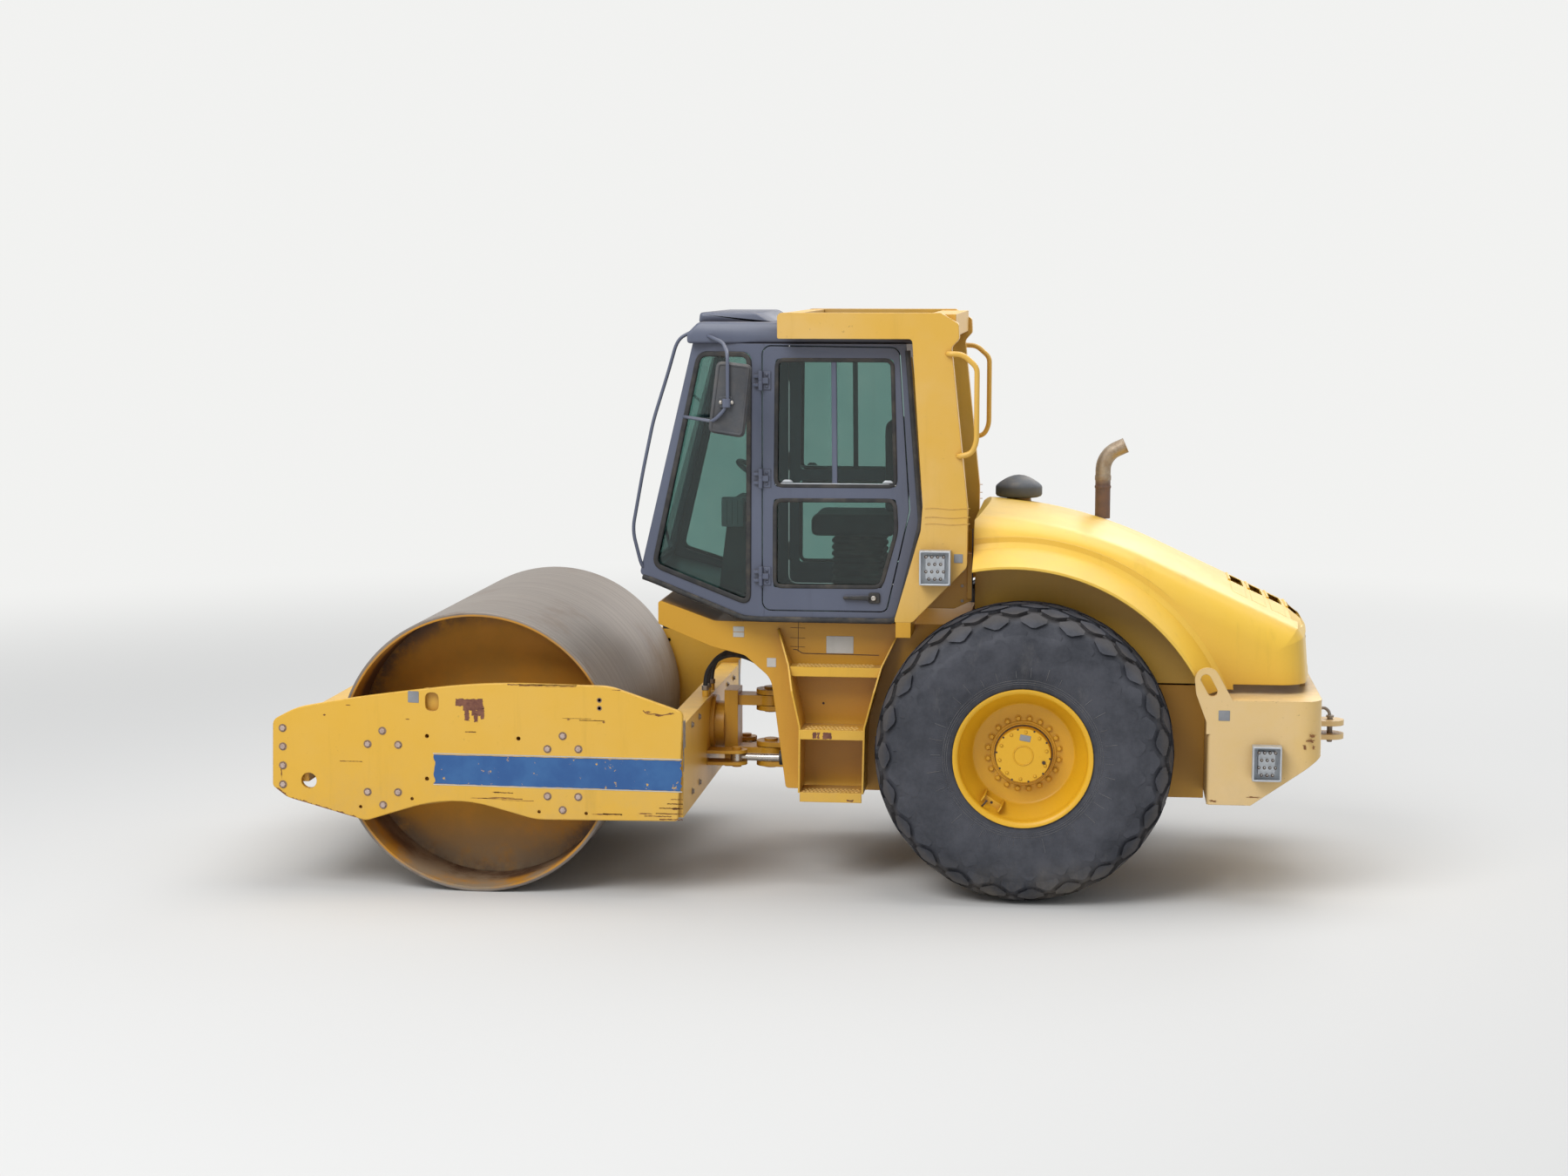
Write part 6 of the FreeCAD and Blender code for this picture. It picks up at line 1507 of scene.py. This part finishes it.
@grown("small_labels", "rear_frame", "white")
def small_labels(form):
    for area in ((-0.462, -0.402, 1.338, 1.366), (-0.462, -0.402, 1.308, 1.335), (-0.278, -0.228, 1.147, 1.197)):
        slab(form, on_side(-1, 0.480), square(*area, 0.003), 0.0014, 0.0004)


# Steps: anti-slip teeth on the treads, worn paint on the edges
@grown("tread_teeth", "rear_frame", "step_pale", both=True)
def tread_teeth(form, sign):
    tooth = ((0.0085, 0.0), (0.0080, 0.003), (0.0060, 0.0045), (0.0045, 0.003), (0.0, 0.003))
    for z, x0, x1, out in ((0.512, -0.060, 0.245, 0.716), (0.850, -0.045, 0.235, 0.716),
                           (1.175, -0.100, 0.310, 0.626)):
        count = int((x1 - x0) / 0.0215)
        for row in range(3):
            for k in range(count):
                x = x0 + (k + 0.5 * (row % 2) + 0.3) * (x1 - x0) / count
                at = Matrix.Translation((x, sign * (out - 0.022 - row * 0.034), z - 0.001))
                turned(form, at, tooth, 10)


@grown("step_wear", "rear_frame", "primer", both=True)
def step_wear(form, sign):
    spots = ((-0.005, 0.018, 0.805, 0.836), (0.022, 0.034, 0.802, 0.838), (0.052, 0.098, 0.802, 0.836),
             (0.182, 0.214, 0.468, 0.476))
    for i, (x0, x1, z0, z1) in enumerate(spots):
        slab(form, on_side(sign, 0.7200), jagged(x0, x1, z0, z1, 70 + i, 0.003, 6), 0.0006)


# Bare grey steel at the rear ends of the drum frame
@grown("beam_wear", "drum_frame", "bare_grey", both=True)
def beam_wear(form, sign):
    at = Matrix.Translation((-0.640, 0, 0)) @ Matrix(((0, 0, 1, 0), (1, 0, 0, 0), (0, 1, 0, 0), (0, 0, 0, 1)))
    near = sign * 1.072
    far = near + sign * 0.026
    y0, y1 = sorted((near - sign * 0.050, far))
    slab(form, at, jagged(y0, y1, 0.800, 0.948, 91, 0.006, 8), 0.0007)
    y0, y1 = sorted((near, far))
    slab(form, at, jagged(y0, y1, 0.680, 0.800, 92, 0.006, 8), 0.0007)


# Bolts of the drum frame's ends and of the tail, and the nuts of the hoses' glands
@grown("frame_fasteners", "drum_frame", "bolt")
def frame_fasteners(form):
    for y in (-0.95, -0.65, -0.35, 0.35, 0.65, 0.95):
        for z in (0.65, 0.82):
            bolt(form, (-2.800, y, z), (-1, 0, 0), 0.013, y + z)
    for y in (-0.80, -0.55, 0.55, 0.80):
        for z in (0.88, 0.52):
            bolt(form, (-0.640, y, z), (1, 0, 0), 0.013, y)


@grown("rear_fasteners", "rear_frame", "bolt")
def rear_fasteners(form):
    for y in (-0.56, -0.30, 0.30, 0.56):
        for z in (0.92, 1.10):
            place, normal = NODES["tail_weight"].ray_cast(Vector((3.2, y, z)), Vector((-1, 0, 0)))[1:3]
            bolt(form, place, normal, 0.018, y + z)


for end, body, point, normal in (("front", "drum_frame", 0, (0, 0, 1)), ("rear", "rear_frame", -1, (-1, 0, 0))):
    @grown("gland_nuts_" + end, body, "bolt")
    def gland_nuts(form):
        for node, length, points in HOSES:
            slab(form, looking(points[point], normal), circle(0.0205, 6), 0.026, 0.002, base=0.001)


# Paint knocked off along the side plate's low front edge: (start, end, seed, depth) from the drum's axis
EDGE_WEAR = (((-1.072, -0.201), (-1.014, -0.244), 41, 0.011), ((-0.985, -0.2543), (-0.880, -0.2828), 42, 0.010),
             ((-0.860, -0.2884), (-0.770, -0.3130), 43, 0.008), ((-0.745, -0.3198), (-0.640, -0.3485), 44, 0.009))


@grown("edge_wear", "drum_frame", "rust")
def edge_wear(form):
    centre = Vector((DRUM_AXIS.x, DRUM_AXIS.z))
    for start, end, seed, depth in EDGE_WEAR:
        chance = random.Random(seed)
        a, b = centre + Vector(start), centre + Vector(end)
        along = (b - a).normalized()
        inwards = Vector((-along.y, along.x))
        outline = [a + (b - a) * k / 14 + inwards * 0.0015 for k in range(15)]
        outline += [a + (b - a) * k / 14 + inwards * (0.003 + depth * chance.random()) for k in range(14, -1, -1)]
        on_both(form, PLATE_OUT_Y, outline, 0.0006)


# Louvres: the slots of the hood's sheet are wide, the real ones short, under a pressed lip
LOUVRE_X = (2.204, 2.307, 2.410, 2.513)
LOUVRE_LENGTH = 0.070
LOUVRE_REACH = 0.150


def hood_skin(x, y):
    return NODES["hood_shell"].ray_cast(Vector((x, y, 2.4)), Vector((0, 0, -1)))[1]


@grown("louvre_fill", "hood", "hood")
def louvre_fill(form):
    for x0 in LOUVRE_X:
        for sign in (-1, 1):
            rings = []
            for k in range(15):
                y = sign * (LOUVRE_REACH + 0.273 * k / 14)
                ends = (hood_skin(x0 - 0.004, y), hood_skin(x0 + LOUVRE_LENGTH + 0.004, y))
                high = [end + Vector((0, 0, 0.0008)) for end in ends]
                low = [end - Vector((0, 0, 0.0030)) for end in reversed(ends)]
                rings.append(high + low)
            add_rings(form, rings)


@grown("louvre_lips", "hood", "hood", angle=60)
def louvre_lips(form):
    for x0 in LOUVRE_X:
        points = [hood_skin(x0 - 0.006, -LOUVRE_REACH + 0.3 * k / 12) + Vector((0, 0, 0.001)) for k in range(13)]
        tube(form, points, 0.008, sides=12)


# Sheets that close the side between the cab and the hood, each with a folded front flange
@grown("wing_sheets", "rear_frame", "frame", both=True)
def wing_sheets(form, sign):
    sheet = ((0.556, 1.498), (0.740, 1.498), (0.836, 1.545), (0.836, 1.800), (0.640, 1.800), (0.575, 1.640))
    slab(form, on_side(sign, 0.600), sheet, 0.005, 0.001, base=-0.004)
    slab(form, on_side(sign, 0.606), square(0.806, 0.836, 1.550, 1.795, 0.004), 0.012, 0.002, base=-0.004)


@grown("wing_bolts", "rear_frame", "bolt", both=True)
def wing_bolts(form, sign):
    for z in (1.54, 1.62, 1.70):
        bolt(form, (0.780, sign * 0.601, z), (0, sign, 0), 0.009, z)
# Stage and light

PALE_BACK = (0.885, 0.887, 0.875)
PALE_FLOOR = (0.69, 0.686, 0.674)


def stage_disc(form):
    bmesh.ops.create_circle(form, cap_ends=True, radius=150.0, segments=96)


disc = grown_mesh("floor", stage_disc)
if disc.polygons[0].normal.z < 0:
    disc.flip_normals()
floor = bpy.data.objects.new("floor", disc)
bpy.context.scene.collection.objects.link(floor)
s = Shade("floor_pale")
shown = s.times(s.span(s.vector("LENGTH", s.place)["Value"], 4.5, 15.0), s.seen())
s.set(Base_Color=s.mix(shown, PALE_FLOOR, (0.0, 0.0, 0.0)), Roughness=0.9, Specular_IOR_Level=0.0)
s.set(Emission_Color=PALE_BACK, Emission_Strength=shown)
disc.materials.append(s.material)

world = bpy.data.worlds.new("studio")
bpy.context.scene.world = world
sky = Tree(world)
pale = sky.node("ShaderNodeBackground", {"Color": PALE_BACK}).outputs[0]
lit = sky.node("ShaderNodeBackground", {"Color": (0.93, 0.96, 1.0), "Strength": 0.48}).outputs[0]
choose = sky.node("ShaderNodeMixShader", {0: sky.seen(), 1: lit, 2: pale})
sky.node("ShaderNodeOutputWorld", {"Surface": choose.outputs[0]})

# Soft lamps: (name, place, size, watts), aimed at the machine's middle
AIM = Vector((0.0, 0.0, 1.0))
for name, place, size, watts in (("key", (-5.0, -9.0, 11.0), 7.0, 1050.0), ("top", (2.0, 1.0, 12.0), 9.0, 700.0),
                                 ("back", (5.0, 10.0, 8.0), 6.0, 350.0)):
    data = bpy.data.lights.new(name, "AREA")
    data.size = size
    data.energy = watts
    lamp = bpy.data.objects.new(name, data)
    lamp.location = place
    lamp.rotation_euler = (AIM - Vector(place)).to_track_quat("-Z", "Y").to_euler()
    bpy.context.scene.collection.objects.link(lamp)

bpy.context.scene.view_settings.view_transform = "Standard"
